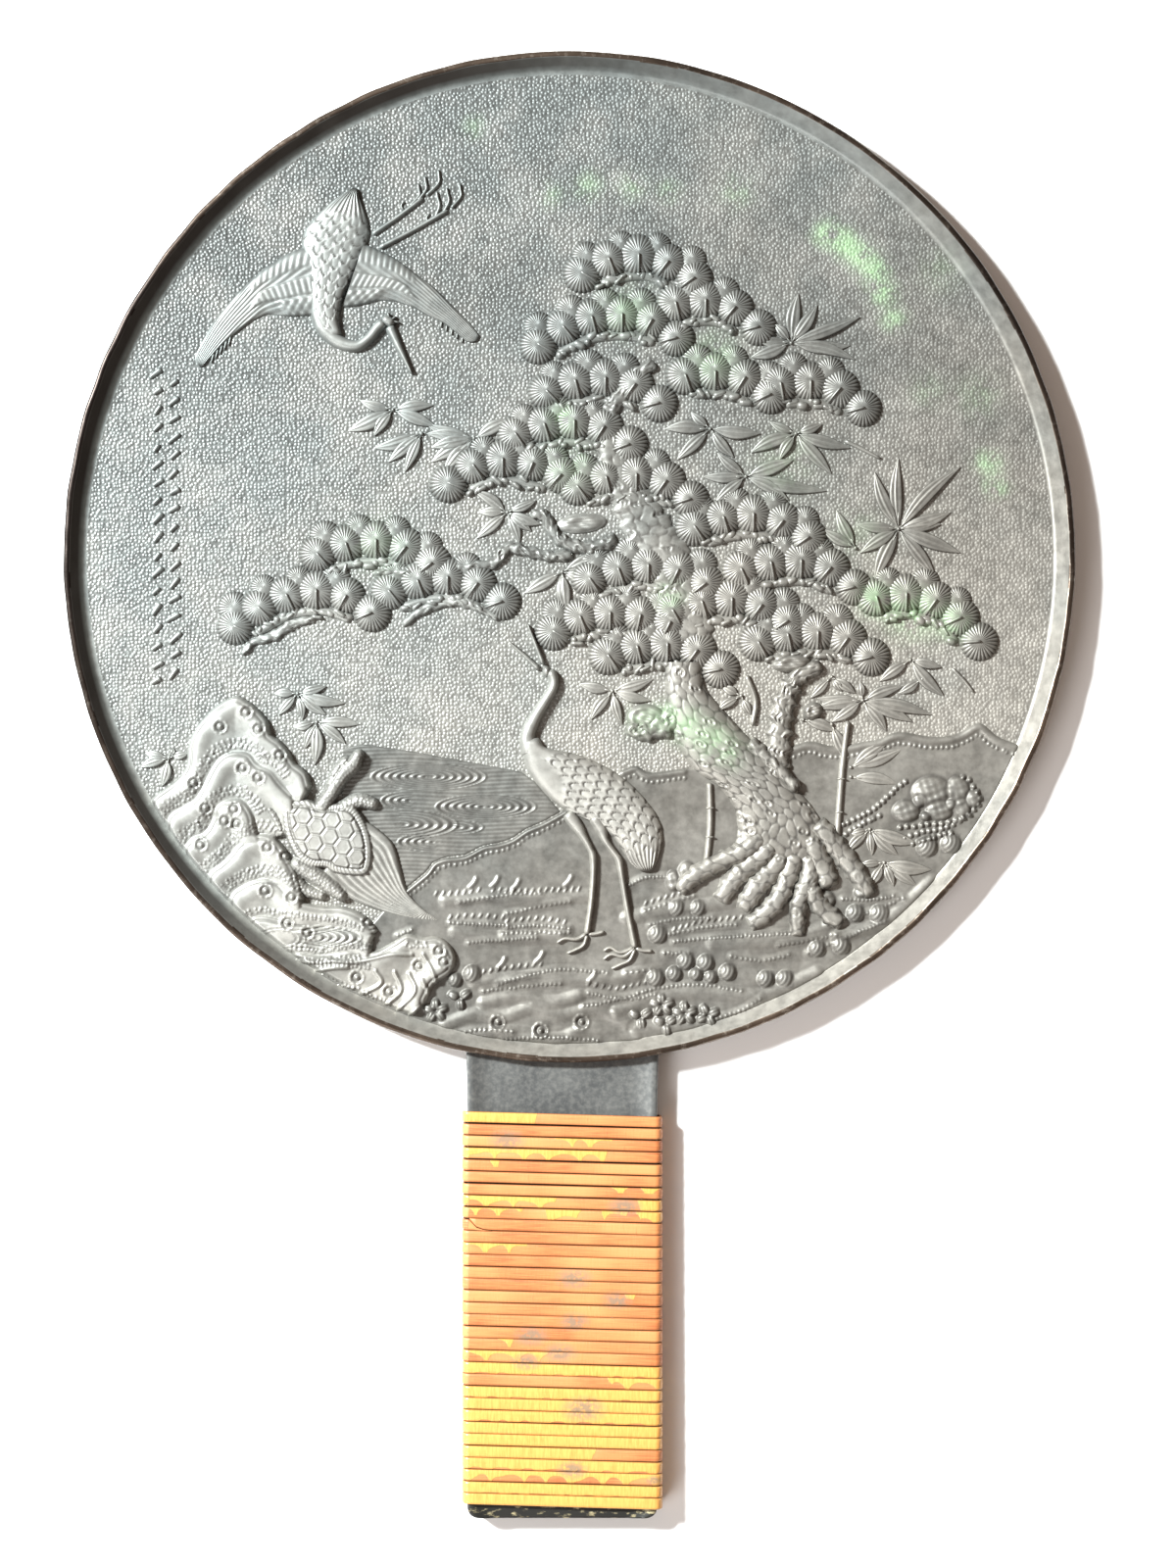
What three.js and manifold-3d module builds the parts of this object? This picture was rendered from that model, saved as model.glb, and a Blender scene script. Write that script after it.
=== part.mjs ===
// A cast bronze hand mirror, lying on its polished face with the decorated back up.
// Millimetres. The disc's centre is the origin, the polished face lies at z = 0,
// +Z rises out of the relief and +Y points from the handle to the top of the picture.
import * as THREE from 'three';
import { mergeVertices } from 'three/addons/utils/BufferGeometryUtils.js';
import Module from 'manifold-3d';

const wasm = await Module();
wasm.setup();

// Driving dimensions of the casting
const discRadius = 106;
const plateThickness = 3.0;
const rimHeight = 3.2;
const rimWidth = 1.5;
const rimDraft = 2.6;
const edgeBevel = 0.6;
const discSegments = 60;

const handleOffset = -1.5;
const handleWidth = 40.5;
const wrappedWidth = 40.0;
const handleThickness = 3.4;
const handleEnd = -201.5;
const handleCorner = 2.2;
const lipWidth = 1.3;
const lipHeight = 0.4;

// Driving dimensions of the split rattan bound round the handle
const strandWidth = 2.5;
const strandThickness = 0.75;
const bindingClearance = 0.3;
const bindingTop = -115.8;
const upperTurns = 9;
const lowerTurns = 24;
const bindingCorner = 1.2;
const turnGroove = 0.35;

// Relief heights above the ground of the back
const ground = plateThickness;
const sink = 0.4;
const landStep = 0.3;

// One pine fan: a ribbed shell of needles, with its stem at the foot
const fanRadius = 3.65;
const fanHeight = 1.5;
const fanTop = 0.5;
const fanStep = 6.4;
const fanSides = 6;

// Every clump of pine: the place of its top fan, and the lean in degrees of the fans beside it
const pineClumps = [
  { top: [14.5, 63.5], left: [-22, -60], right: [38, 55] },
  { top: [28.5, 54], left: [-15], right: [40, 75] },
  { top: [11, 51], left: [-15, -40, -62], right: [30, 75] },
  { top: [7.5, 37.7], left: [-15, -45], right: [35, 75] },
  { top: [30.5, 39], left: [-20], right: [32, 65] },
  { top: [50.5, 37], left: [-12], right: [40, 75] },
  { top: [1, 28.7], left: [-18, -35], right: [32, 70] },
  { top: [-14, 20.7], left: [-35, -70], right: [22, 42] },
  { top: [14, 17.5], left: [-15, -38], right: [35, 72] },
  { top: [38.5, 9.2], left: [-18, -35], right: [38, 55] },
  { top: [48.5, -0.5], left: [-12, -25], right: [40, 75] },
  { top: [16.5, -1.5], left: [-20, -35], right: [25, 52] },
  { top: [8.5, -11.5], left: [-22, -62], right: [12, 25] },
  { top: [34, -8.5], left: [-18, -30], right: [35, 55] },
  { top: [52, -15.5], left: [-14, -30], right: [35, 75] },
  { top: [70.5, -7.5], left: [-18], right: [35, 65, 85] },
  { top: [20.5, -18], left: [-15, -35], right: [35, 78] },
  { top: [-40.5, 3.7], left: [-18, -40], right: [38, 52] },
  { top: [-53, -6.8], left: [-25, -45, -65], right: [30, 68] },
  { top: [-25.5, -4], left: [-20, -38], right: [35, 70] },
];

// Every spray of bamboo: its knot, and each leaf as a direction in degrees and a length
const leafWidth = 2.3;
const leafHeight = 0.65;
const bambooSprays = [
  { at: [46.5, 46], leaves: [[82, 9], [22, 15], [-2, 12], [-22, 12], [125, 5], [200, 9]] },
  { at: [29.5, 28], leaves: [[228, 10], [-54, 9], [-14, 11], [186, 9]] },
  { at: [47.5, 26], leaves: [[196, 10], [-48, 10], [-16, 11], [235, 7]] },
  { at: [36.5, 17], leaves: [[180, 9], [150, 8], [-12, 17], [-40, 11], [222, 8], [28, 9]] },
  { at: [68.5, 8], leaves: [[88, 12], [112, 11], [40, 17], [8, 11], [-6, 10], [168, 8]] },
  { at: [70, 3.5], leaves: [[-48, 11], [-12, 12], [228, 10], [192, 9]] },
  { at: [61, 1], leaves: [[122, 11], [160, 6], [-60, 6]] },
  { at: [-36.5, 31.5], leaves: [[168, 8], [205, 11], [8, 9], [-28, 10], [235, 8]] },
  { at: [-31.5, 26], leaves: [[192, 10], [222, 9], [-20, 9]] },
  { at: [-20.5, 25], leaves: [[165, 10], [190, 10], [222, 10], [240, 9], [28, 9]] },
  { at: [-12.5, 10], leaves: [[228, 9], [-42, 8], [150, 6], [190, 7], [25, 8]] },
  { at: [-1.5, -3], leaves: [[210, 10], [-88, 9], [22, 9]] },
  { at: [9, -28], leaves: [[166, 7], [232, 8], [-78, 8], [24, 9]] },
  { at: [61.5, -29.8], leaves: [[176, 9], [214, 8], [-52, 9], [-28, 12], [-4, 14], [28, 9]] },
  { at: [55, -25], leaves: [[222, 6], [-44, 7]] },
  { at: [71.5, -21.5], leaves: [[218, 8], [-52, 10], [-8, 8]] },
  { at: [57.5, -45.5], leaves: [[32, 13], [-8, 11], [112, 10]] },
  { at: [63.5, -56.8], leaves: [[230, 6], [-88, 6], [-48, 7], [-22, 9]] },
  { at: [66.5, -63.8], leaves: [[235, 6], [-70, 6], [-38, 8], [180, 6]] },
  { at: [-56.8, -28.5], leaves: [[190, 5], [232, 6], [-88, 6], [-45, 6], [-12, 8], [28, 5]] },
  { at: [-53, -34.5], leaves: [[180, 6], [235, 6], [-20, 9], [-55, 6]] },
  { at: [-83.5, -43], leaves: [[160, 6], [200, 7], [-95, 6], [25, 5]] },
  { at: [38.5, -30], leaves: [[150, 7], [190, 7], [-88, 6]] },
];

// Strokes in place of the maker's line: slanted bars that spell nothing
const inscription = { x: -84.6, top: 37, pitch: 7.6, groups: 9, length: 4.4, width: 0.9, height: 0.5 };

function toSolid(geometry) {
  const bare = geometry.clone();
  for (const name of ['normal', 'uv']) bare.deleteAttribute(name);
  const merged = mergeVertices(bare, 1e-4);
  return new wasm.Manifold(new wasm.Mesh({
    numProp: 3,
    vertProperties: new Float32Array(merged.attributes.position.array),
    triVerts: new Uint32Array(merged.index.array),
  }));
}

function toGeometry(solid) {
  const mesh = solid.getMesh();
  const geometry = new THREE.BufferGeometry();
  geometry.setAttribute('position', new THREE.BufferAttribute(new Float32Array(mesh.vertProperties), 3));
  geometry.setIndex(new THREE.BufferAttribute(new Uint32Array(mesh.triVerts), 1));
  return geometry;
}

function closed(points, index) {
  const geometry = new THREE.BufferGeometry();
  geometry.setAttribute('position', new THREE.Float32BufferAttribute(points.flat(), 3));
  geometry.setIndex(index);
  return geometry;
}

// A closed skin over a row of rings that all have the same number of points.
// The rings run anticlockwise when looked at from the last ring back to the first.
function skin(rings) {
  const count = rings[0].length;
  const index = [];
  for (let r = 0; r + 1 < rings.length; r++) {
    for (let k = 0; k < count; k++) {
      const a = r * count + k;
      const b = r * count + (k + 1) % count;
      index.push(a, b, a + count, b, b + count, a + count);
    }
  }
  const last = (rings.length - 1) * count;
  for (let k = 1; k + 1 < count; k++) {
    index.push(0, k + 1, k, last, last + k, last + k + 1);
  }
  return closed(rings.flat(), index);
}

// A closed pyramid over an outline that runs anticlockwise from above
function spire(foot, tip) {
  const count = foot.length;
  const index = foot.flatMap((_, k) => [k, (k + 1) % count, count]);
  for (let k = 1; k + 1 < count; k++) index.push(0, k + 1, k);
  return closed([...foot, tip], index);
}

function outward(solid) {
  if (solid.volume() > 0) return solid;
  throw new Error('a solid is inside out');
}

const middle = (a, b, t = 0.5) => [a[0] + (b[0] - a[0]) * t, a[1] + (b[1] - a[1]) * t];

function smooth(points, count) {
  const curve = new THREE.SplineCurve(points.map(([x, y]) => new THREE.Vector2(x, y)));
  return curve.getSpacedPoints(count - 1).map((p) => [p.x, p.y]);
}

// A raised band between two edge lines, with walls of height edge and a ridge of height crown between them
function band(left, right, crown, edge = 0, count = left.length) {
  const leftLine = smooth(left, count);
  const rightLine = smooth(right, count);
  const rings = leftLine.map((l, i) => {
    const r = rightLine[i];
    const m = middle(l, r);
    const top = typeof crown === 'function' ? crown(i / (count - 1)) : crown;
    if (edge === 0) {
      const spread = 1 + sink / top;
      return [[...middle(m, l, spread), ground - sink], [...middle(m, r, spread), ground - sink],
        [...m, ground + top]];
    }
    return [[...l, ground - sink], [...r, ground - sink], [...r, ground + edge],
      [...m, ground + top], [...l, ground + edge]];
  });
  const solid = toSolid(skin(rings));
  return solid.volume() > 0 ? solid : outward(toSolid(skin(rings.reverse())));
}

// A raised cord along a path, such as a leg, a neck or a twig
function ridge(path, widths, height, count = path.length) {
  const line = smooth(path, count);
  const sides = [-1, 1].map((side) => line.map((p, i) => {
    const before = line[Math.max(i - 1, 0)];
    const after = line[Math.min(i + 1, count - 1)];
    const length = Math.hypot(after[0] - before[0], after[1] - before[1]);
    const width = widths[0] + (widths[1] - widths[0]) * i / (count - 1);
    const half = side * width / 2 / length;
    return [p[0] - (after[1] - before[1]) * half, p[1] + (after[0] - before[0]) * half];
  }));
  return band(sides[0], sides[1], height, 0, count);
}

// A low dome: an oval foot, a shoulder and a flat top; without a shoulder height its walls slope straight up
function dome(x, y, radii, turn, shoulder, height, sides) {
  const levels = shoulder ? [[1, -sink], [0.97, shoulder], [0.35, height]] : [[1.05, -sink], [0.5, height]];
  const rings = levels.map(([scale, z]) => {
    const ring = [];
    for (let k = 0; k < sides; k++) {
      const a = 2 * Math.PI * k / sides;
      const u = Math.cos(a) * radii[0] * scale;
      const v = Math.sin(a) * radii[1] * scale;
      ring.push([x + u * Math.cos(turn) - v * Math.sin(turn), y + u * Math.sin(turn) + v * Math.cos(turn),
        ground + z]);
    }
    return ring;
  });
  return outward(toSolid(skin(rings)));
}

// A flat raised area with the given outline
function slab(outline, height) {
  const shape = new THREE.Shape(outline.map(([x, y]) => new THREE.Vector2(x, y)));
  const geometry = new THREE.ExtrudeGeometry(shape, { depth: height + sink, bevelEnabled: false });
  geometry.translate(0, 0, ground - sink);
  return outward(toSolid(geometry));
}

// The fans of one clump, stepping away from the top one along an arch that bends with their lean
function clumpFans({ top, left, right }) {
  const bendShare = 0.7;
  const fans = [{ x: top[0], y: top[1], lean: 0 }];
  for (const leans of [left, right]) {
    let [x, y] = top;
    let before = 0;
    for (const lean of leans) {
      const side = Math.sign(lean);
      const way = THREE.MathUtils.degToRad(bendShare * (before + lean) / 2);
      x += side * fanStep * Math.cos(way);
      y -= side * fanStep * Math.sin(way);
      before = lean;
      fans.push({ x, y, lean });
    }
  }
  return fans;
}

// A fan: six-sided at its foot and three-sided on top, one top corner lying over every other foot edge
function fanSolid({ x, y, lean }) {
  const turn = THREE.MathUtils.degToRad(90 - lean);
  const ring = (count, start, scale, z) => Array.from({ length: count }, (_, k) => {
    const a = turn + 2 * Math.PI * (k / count + start);
    return [x + fanRadius * scale * Math.cos(a), y + fanRadius * scale * Math.sin(a), ground + z];
  });
  const foot = ring(fanSides, 0, 1 + sink / fanHeight / 2, -sink);
  const top = ring(fanSides / 2, 0.5 / fanSides, fanTop, fanHeight);
  const index = [fanSides, fanSides + 1, fanSides + 2];
  for (let k = 0; k < fanSides / 2; k++) {
    const here = fanSides + k;
    const next = fanSides + (k + 1) % (fanSides / 2);
    const [a, b, c] = [2 * k, 2 * k + 1, (2 * k + 2) % fanSides];
    index.push(a, b, here, b, c, next, b, next, here);
  }
  for (let k = 1; k + 1 < fanSides; k++) index.push(0, k + 1, k);
  return outward(toSolid(closed([...foot, ...top], index)));
}

// A leaf: a kite with a single crest over its widest place
function leafSolid([x, y], [direction, length]) {
  const a = THREE.MathUtils.degToRad(direction);
  const crest = 0.38;
  const outline = [[0, 0], [crest, -0.5], [1, 0], [crest, 0.5]];
  const place = (along, across, z) => [x + Math.cos(a) * along - Math.sin(a) * across,
    y + Math.sin(a) * along + Math.cos(a) * across, ground + z];
  const foot = outline.map(([t, w]) => place(length * (crest + (t - crest) * (1 + sink / leafHeight)),
    leafWidth * w * (1 + sink / leafHeight), -sink));
  return outward(toSolid(spire(foot, place(length * crest, 0, leafHeight))));
}

function pine() {
  const twigs = [
    ridge([[27, -22], [20, -8], [16, 2], [13, 12], [7, 22], [7, 30], [15, 38], [18, 41]], [12, 3], 1.2, 8),
    ridge([[10, 4], [3, 2], [-2, -1], [-7, 1], [-12, 1.5], [-17, -1], [-26, -3], [-38, -3.5]], [3, 1.4], 1.1),
    ridge([[-4, 10], [-4.5, 6], [-1, 3], [2, 2]], [3, 2.4], 1.3),
    ridge([[43, -46], [44, -38], [44.5, -31], [47, -26], [53, -23]], [6.4, 3.4], 1.9),
    ridge([[46, -32], [49, -33], [51, -32], [50, -30]], [2, 1.6], 1.2),
    ridge([[22, -34], [17, -36], [12.5, -33], [14, -30.5]], [6, 3], 1.3),
    ridge([[-66, -19], [-62, -18.5], [-57, -15.5], [-50, -15]], [1.2, 1.5], 0.8),
    ridge([[-35, -15], [-31, -12.5], [-25, -11], [-19, -12.5], [-16, -14]], [1.2, 1.4], 0.8),
    ridge([[2, -19.5], [8, -18.5], [13, -16]], [1.4, 1.4], 0.8),
    ridge([[55, 28], [60, 24], [65, 21]], [1.2, 0.6], 0.7),
  ];
  const bole = band(
    [[20, -23], [20.5, -30], [22.5, -40], [30, -47], [34.5, -54], [34, -61], [29, -67]],
    [[28, -23], [29, -30], [39, -38.5], [48, -48], [53, -55], [55.5, -62], [60, -67]],
    (t) => 2.1 + 0.5 * Math.sin(Math.PI * t), 1.1, 8);
  const roots = [
    [[34, -61], [29, -65], [24.5, -69.5]],
    [[38, -64], [33, -69], [31, -71.5]],
    [[43, -65], [39, -71], [36, -74]],
    [[47, -66], [46, -72], [42, -75], [38.5, -76]],
    [[50, -67], [49, -73], [48, -79]],
    [[52, -67], [53, -71.5], [56, -75]],
    [[55, -61], [58.5, -65], [61.5, -70]],
  ].map((path) => ridge(path, [4.6, 2.6], 1.9));
  const fans = pineClumps.flatMap(clumpFans).map(fanSolid);
  return [...twigs, bole, ...roots, ...fans];
}

function bamboo() {
  const leaves = bambooSprays.flatMap(({ at, leaves }) => leaves.map((leaf) => leafSolid(at, leaf)));
  const stalks = [
    ridge([[29.3, -47], [29.6, -56], [28.6, -64]], [1.7, 1.5], 0.9),
    ridge([[58.3, -34], [56.9, -48], [56, -61]], [1.7, 1.9], 0.9),
    ridge([[36, -24], [38.8, -29], [38.2, -35]], [1.5, 1.3], 0.8),
  ];
  return [...leaves, ...stalks];
}

function flyingCrane() {
  return [
    band([[-53, 66], [-60, 63.5], [-66, 59.5], [-72, 53], [-76, 46], [-78, 41.5]],
      [[-53, 51], [-59, 50.5], [-65, 50.5], [-69.5, 48], [-73.5, 44], [-77, 40.5]], 0.85, 0.45),
    band([[-46, 65.5], [-40, 64.5], [-33, 61.5], [-27, 57], [-22, 51.5], [-18.7, 47]],
      [[-47, 53], [-42, 53.5], [-36, 53.5], [-30, 51.5], [-25, 48.5], [-20.5, 45.5]], 0.9, 0.45),
    band([[-46, 77.5], [-51.5, 73.5], [-55.5, 67], [-55.5, 60], [-54.8, 54], [-53, 49]],
      [[-44, 77], [-42, 71.5], [-41, 66], [-45, 59.5], [-48.5, 54], [-49.5, 50]], 1.6, 0.8),
    ridge([[-52, 52], [-50.5, 47.5], [-46.5, 45], [-43, 46], [-40, 49.6]], [3.8, 2.2], 1.6, 6),
    dome(-38.5, 50, [1.9, 1.6], 0, 0.9, 1.6, 6),
    ridge([[-38, 50], [-36, 45], [-33.1, 38.5]], [1.9, 0.3], 1.2),
    ridge([[-43, 67], [-37, 71.5], [-30.3, 75.5]], [1.3, 0.9], 0.7),
    ridge([[-42, 65.5], [-33, 70], [-25.2, 73.2]], [1.3, 0.9], 0.7),
    ...[[-31.3, 75, -31.6, 79.5], [-30.3, 75.5, -29.7, 80.4], [-29, 75.5, -27.7, 81.8],
      [-27.5, 72.5, -27.2, 77.2], [-26, 73, -25.2, 78], [-25, 73, -23, 78.8]].map(
      ([x0, y0, x1, y1]) => ridge([[x0, y0], [x1 + 0.3, (y0 + y1) / 2], [x1, y1]], [0.8, 0.5], 0.5)),
  ];
}

function standingCrane() {
  return [
    band([[-9.5, -40], [-8.5, -44.5], [-5, -50], [0, -54.5], [6, -58], [11, -62.5], [15, -65.5]],
      [[-6.5, -39.5], [1, -41], [9, -44], [15, -49], [18.5, -54], [19.5, -59], [17.5, -65]],
      (t) => 1.3 + 0.7 * Math.sin(Math.PI * t), 0.9),
    ridge([[-4.3, -23.5], [-3, -27], [-5.5, -31.5], [-8.2, -35.5], [-8.2, -41]], [2.4, 3.6], 1.6, 6),
    dome(-4.6, -23.6, [2, 1.7], 0, 0.9, 1.7, 6),
    ridge([[-5, -23], [-7, -18.5], [-8.8, -14]], [1.4, 0.3], 0.9),
    ridge([[-5.4, -23.6], [-9.5, -20.5], [-13.6, -17.4]], [1.4, 0.3], 0.9),
    ridge([[-0.5, -54], [3, -58.5], [5.5, -62.8]], [3, 1.3], 1.2),
    ridge([[5.5, -62.5], [5, -70], [4.2, -79.5]], [1.2, 1.2], 1.1),
    ridge([[6, -55], [8.3, -59.5], [10.5, -64]], [2.8, 1.2], 1.2),
    ridge([[10.4, -63.5], [12.3, -73], [14, -82.4]], [1.2, 1.2], 1.1),
    ...[[4.2, -79.3, -3, -81], [4.2, -79.5, -0.8, -83.3], [4, -79, 7.6, -78.7],
      [14, -82.3, 7, -83], [14, -82.5, 8.5, -86.3], [14, -82.3, 17.8, -83]].map(
      ([x0, y0, x1, y1]) => ridge([[x0, y0], [(x0 + x1) / 2, (y0 + y1) / 2 - 0.7], [x1, y1]], [0.9, 0.6], 0.5)),
  ];
}

function tortoise() {
  const shellTurn = THREE.MathUtils.degToRad(-48);
  return [
    dome(-50.6, -58.6, [11, 8.4], shellTurn, 0.9, 2.4, 12),
    ridge([[-52.5, -51], [-49, -46.5], [-44.6, -41.3]], [3.2, 3.4], 1.8),
    ridge([[-47, -52], [-44, -50.6], [-40.6, -51.3]], [3.6, 2.2], 1.2),
    ridge([[-58, -56], [-61, -56], [-62.6, -52]], [3, 2], 1.1),
    ridge([[-55, -64.5], [-50.5, -67.5], [-48, -70.5]], [3.4, 2.2], 1.2),
    ridge([[-56, -68.6], [-53, -70.6], [-49, -70.6]], [2.4, 2], 0.9),
    band([[-42, -55], [-37.5, -60], [-35.5, -67], [-32, -72], [-26.3, -76]],
      [[-51, -66], [-47, -69.5], [-42, -72.5], [-35, -74.8], [-27, -77]], 0.9, 0.5),
  ];
}

// Rocks in overlapping shelves: each has a lumpy upper line, and runs down to a foot line in front
function rocks() {
  const shelves = [
    { crest: [[-80, -46], [-79, -37], [-74, -30.3], [-68.5, -29.3], [-63.5, -35.5], [-58.5, -40], [-53.5, -49]],
      foot: [[-79, -49], [-76.5, -46], [-74, -44], [-70, -43.5], [-66, -45], [-61, -48], [-55, -51]], top: 1.5 },
    { crest: [[-88, -52], [-82, -50.5], [-78, -47], [-74.5, -42.5], [-69.5, -40.8], [-63.5, -44], [-58.5, -50]],
      foot: [[-86, -55], [-82, -55], [-78, -53], [-74, -52], [-70, -52], [-66, -54], [-61, -55]], top: 1.9 },
    { crest: [[-84.5, -58], [-81, -57.5], [-77.5, -55.5], [-75, -51.5], [-71, -49.8], [-67, -52], [-65.5, -58]],
      foot: [[-82, -63], [-79, -63], [-76, -62], [-73, -61], [-70, -60], [-68, -60], [-66, -60]], top: 2.0 },
    { crest: [[-79, -65], [-76, -64], [-72.5, -61], [-69, -58], [-65, -57.3], [-61, -59], [-57.5, -65]],
      foot: [[-77, -70], [-74, -70], [-71, -69], [-68, -68], [-65, -67], [-61, -68], [-57, -69]], top: 2.0 },
    { crest: [[-73, -73], [-70, -70], [-66, -67], [-61.5, -67], [-57, -71], [-51, -72.5], [-45, -73.5]],
      foot: [[-71, -76], [-67, -76], [-63, -76], [-59, -77], [-54, -77], [-49, -77], [-44, -77]], top: 1.8 },
    { crest: [[-68, -77.5], [-64, -75], [-58, -75.2], [-52, -77], [-46, -77.6], [-40, -77.5], [-33, -78.5]],
      foot: [[-64, -83], [-59, -84], [-54, -85], [-48, -85], [-43, -85], [-38, -85], [-32, -85]], top: 1.7 },
    { crest: [[-55, -85.5], [-50, -85], [-44, -85], [-38, -85], [-33, -83.5], [-29, -84.5], [-27, -89]],
      foot: [[-52, -88], [-48, -90.5], [-43, -92.5], [-38, -94], [-33, -95], [-30, -95], [-27, -94]], top: 1.5 },
  ];
  const lumps = [[-25.5, -82.5, 3.6, 4.6, 1.9], [-41, -76, 3, 2.6, 1.9], [-37, -76.3, 2.6, 2.4, 1.6],
    [-21.5, -88, 2.2, 2.2, 1.3], [-28, -92.8, 2.2, 2.2, 1.2]];
  return [
    ...shelves.map(({ crest, foot, top }) => band(crest, foot, top, 0.9)),
    ...lumps.map(([x, y, rx, ry, top]) => dome(x, y, [rx, ry], 0, 0.8, top, 7)),
    dome(76.5, -50.5, [10.5, 3.2], THREE.MathUtils.degToRad(12), 0.7, 1.5, 9),
  ];
}

// The smooth shore and hills: one low step over the pitted ground, out to the rim
function land() {
  const shoreline = [[-33, -69], [-28.5, -63.5], [-20, -61.3], [-12, -57.5], [-4, -54], [10, -47], [17, -45.3],
    [24, -44.6], [40, -41], [48, -39.3], [62, -39.2], [70, -36.6], [76, -37.7], [85, -34.8], [94.5, -39.6]];
  const inner = discRadius - rimWidth - rimDraft / 2;
  const from = Math.atan2(-39.6, 94.5);
  const to = THREE.MathUtils.degToRad(-112);
  const steps = 14;
  const alongRim = Array.from({ length: steps + 1 }, (_, k) => {
    const a = from + (to - from) * k / steps;
    return [inner * Math.cos(a), inner * Math.sin(a)];
  });
  return slab([...shoreline, ...alongRim], landStep);
}

function pebbles() {
  const places = [[18.7, -78.8, 2], [22.8, -73.6, 1.6], [26.8, -73.4, 1.6], [18.3, -88, 1.9], [22, -87.3, 1.7],
    [24, -84.7, 1.6], [28.5, -84.7, 1.6], [29.5, -87.3, 1.7], [33.3, -87, 1.9], [40, -88, 2], [44.3, -87.8, 2],
    [52.6, -81.8, 1.7], [75.3, -60.6, 2], [79.3, -60, 2]];
  return places.map(([x, y, r]) => dome(x, y, [r, r], 0, 0, 1.1, 5));
}

function inscriptionStrokes() {
  const { x, top, pitch, groups, length, width, height } = inscription;
  const slants = [[-1.6, 1.6, 68], [1.4, 1.2, 112], [-0.2, -1.8, 24]];
  return Array.from({ length: groups }, (_, g) => slants.map(([dx, dy, slant]) => {
    const a = THREE.MathUtils.degToRad(slant + (g % 2 ? 12 : -10));
    const cx = x + dx;
    const cy = top - g * pitch + dy;
    const reach = [Math.cos(a) * length / 2, Math.sin(a) * length / 2];
    return ridge([[cx - reach[0], cy - reach[1]], [cx + reach[0], cy + reach[1]]], [width, width], height);
  })).flat();
}

function disc() {
  const inner = discRadius - rimWidth;
  const rimTop = ground + rimHeight;
  const profile = [[0, 0], [discRadius, 0], [discRadius, rimTop - edgeBevel],
    [discRadius - edgeBevel, rimTop], [inner, rimTop], [inner - rimDraft, ground], [0, ground]];
  const geometry = new THREE.LatheGeometry(profile.map(([r, z]) => new THREE.Vector2(r, z)), discSegments);
  geometry.rotateX(Math.PI / 2);
  return outward(toSolid(geometry));
}

function handle() {
  const start = -discRadius + 3;
  const [l, r] = [-1, 1].map((side) => handleOffset + side * handleWidth / 2);
  const [wl, wr] = [-1, 1].map((side) => handleOffset + side * wrappedWidth / 2);
  const shape = new THREE.Shape();
  shape.moveTo(r, start);
  shape.lineTo(l, start);
  shape.lineTo(wl, bindingTop);
  shape.lineTo(wl, handleEnd + handleCorner);
  shape.quadraticCurveTo(wl, handleEnd, wl + handleCorner, handleEnd);
  shape.lineTo(wr - handleCorner, handleEnd);
  shape.quadraticCurveTo(wr, handleEnd, wr, handleEnd + handleCorner);
  shape.lineTo(wr, bindingTop);
  shape.closePath();
  const plate = new THREE.ExtrudeGeometry(shape, { depth: handleThickness, bevelEnabled: false, curveSegments: 4 });
  const lips = [wl + lipWidth / 2, wr - lipWidth / 2].map((x) => {
    const length = start - handleEnd - handleCorner;
    const lip = new THREE.BoxGeometry(lipWidth, length, handleThickness / 2 + lipHeight);
    lip.translate(x, start - length / 2, handleThickness / 2 + (handleThickness / 2 + lipHeight) / 2);
    return outward(toSolid(lip));
  });
  return [outward(toSolid(plate)), ...lips];
}

function casting() {
  const figures = [...pine(), ...bamboo(), ...flyingCrane(), ...standingCrane(), ...tortoise(), ...rocks(),
    ...pebbles(), ...inscriptionStrokes(), land()];
  return wasm.Manifold.union([disc(), ...handle(), ...figures]);
}

// One length of rattan, wound turn against turn: a sleeve whose outside swells at every turn
function binding(top, turns) {
  const boreHalf = wrappedWidth / 2 + bindingClearance;
  const boreLow = -bindingClearance;
  const boreHigh = handleThickness + lipHeight + bindingClearance;
  const outline = (grow, y) => {
    const [x0, x1] = [handleOffset - boreHalf - grow, handleOffset + boreHalf + grow];
    const [z0, z1] = [boreLow - grow, boreHigh + grow];
    const c = grow > 0 ? bindingCorner : bindingCorner / 4;
    return [[x0, z0 + c], [x0, z1 - c], [x0 + c, z1], [x1 - c, z1], [x1, z1 - c], [x1, z0 + c], [x1 - c, z0],
      [x0 + c, z0]].map(([x, z]) => [x, y, z]);
  };
  const crest = strandThickness;
  const groove = strandThickness - turnGroove;
  const rings = [outline(groove, top)];
  for (let turn = 0; turn < turns; turn++) {
    rings.push(outline(crest, top - (turn + 0.5) * strandWidth));
    rings.push(outline(groove, top - (turn + 1) * strandWidth));
  }
  rings.push(outline(0, top - turns * strandWidth), outline(0, top));
  return closedSleeve(rings);
}

// A ring of rings: the last one joins the first, as on a torus
function closedSleeve(rings) {
  const count = rings[0].length;
  const index = [];
  rings.forEach((_, r) => {
    const next = (r + 1) % rings.length;
    for (let k = 0; k < count; k++) {
      const l = (k + 1) % count;
      index.push(r * count + k, next * count + k, r * count + l);
      index.push(r * count + l, next * count + k, next * count + l);
    }
  });
  const geometry = closed(rings.flat(), index);
  outward(toSolid(geometry));
  return geometry;
}

const bronze = new THREE.MeshStandardMaterial({ color: 0x7b7a72, metalness: 0.8, roughness: 0.5 });
const rattan = new THREE.MeshStandardMaterial({ color: 0xc98a45, metalness: 0, roughness: 0.55 });

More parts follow.
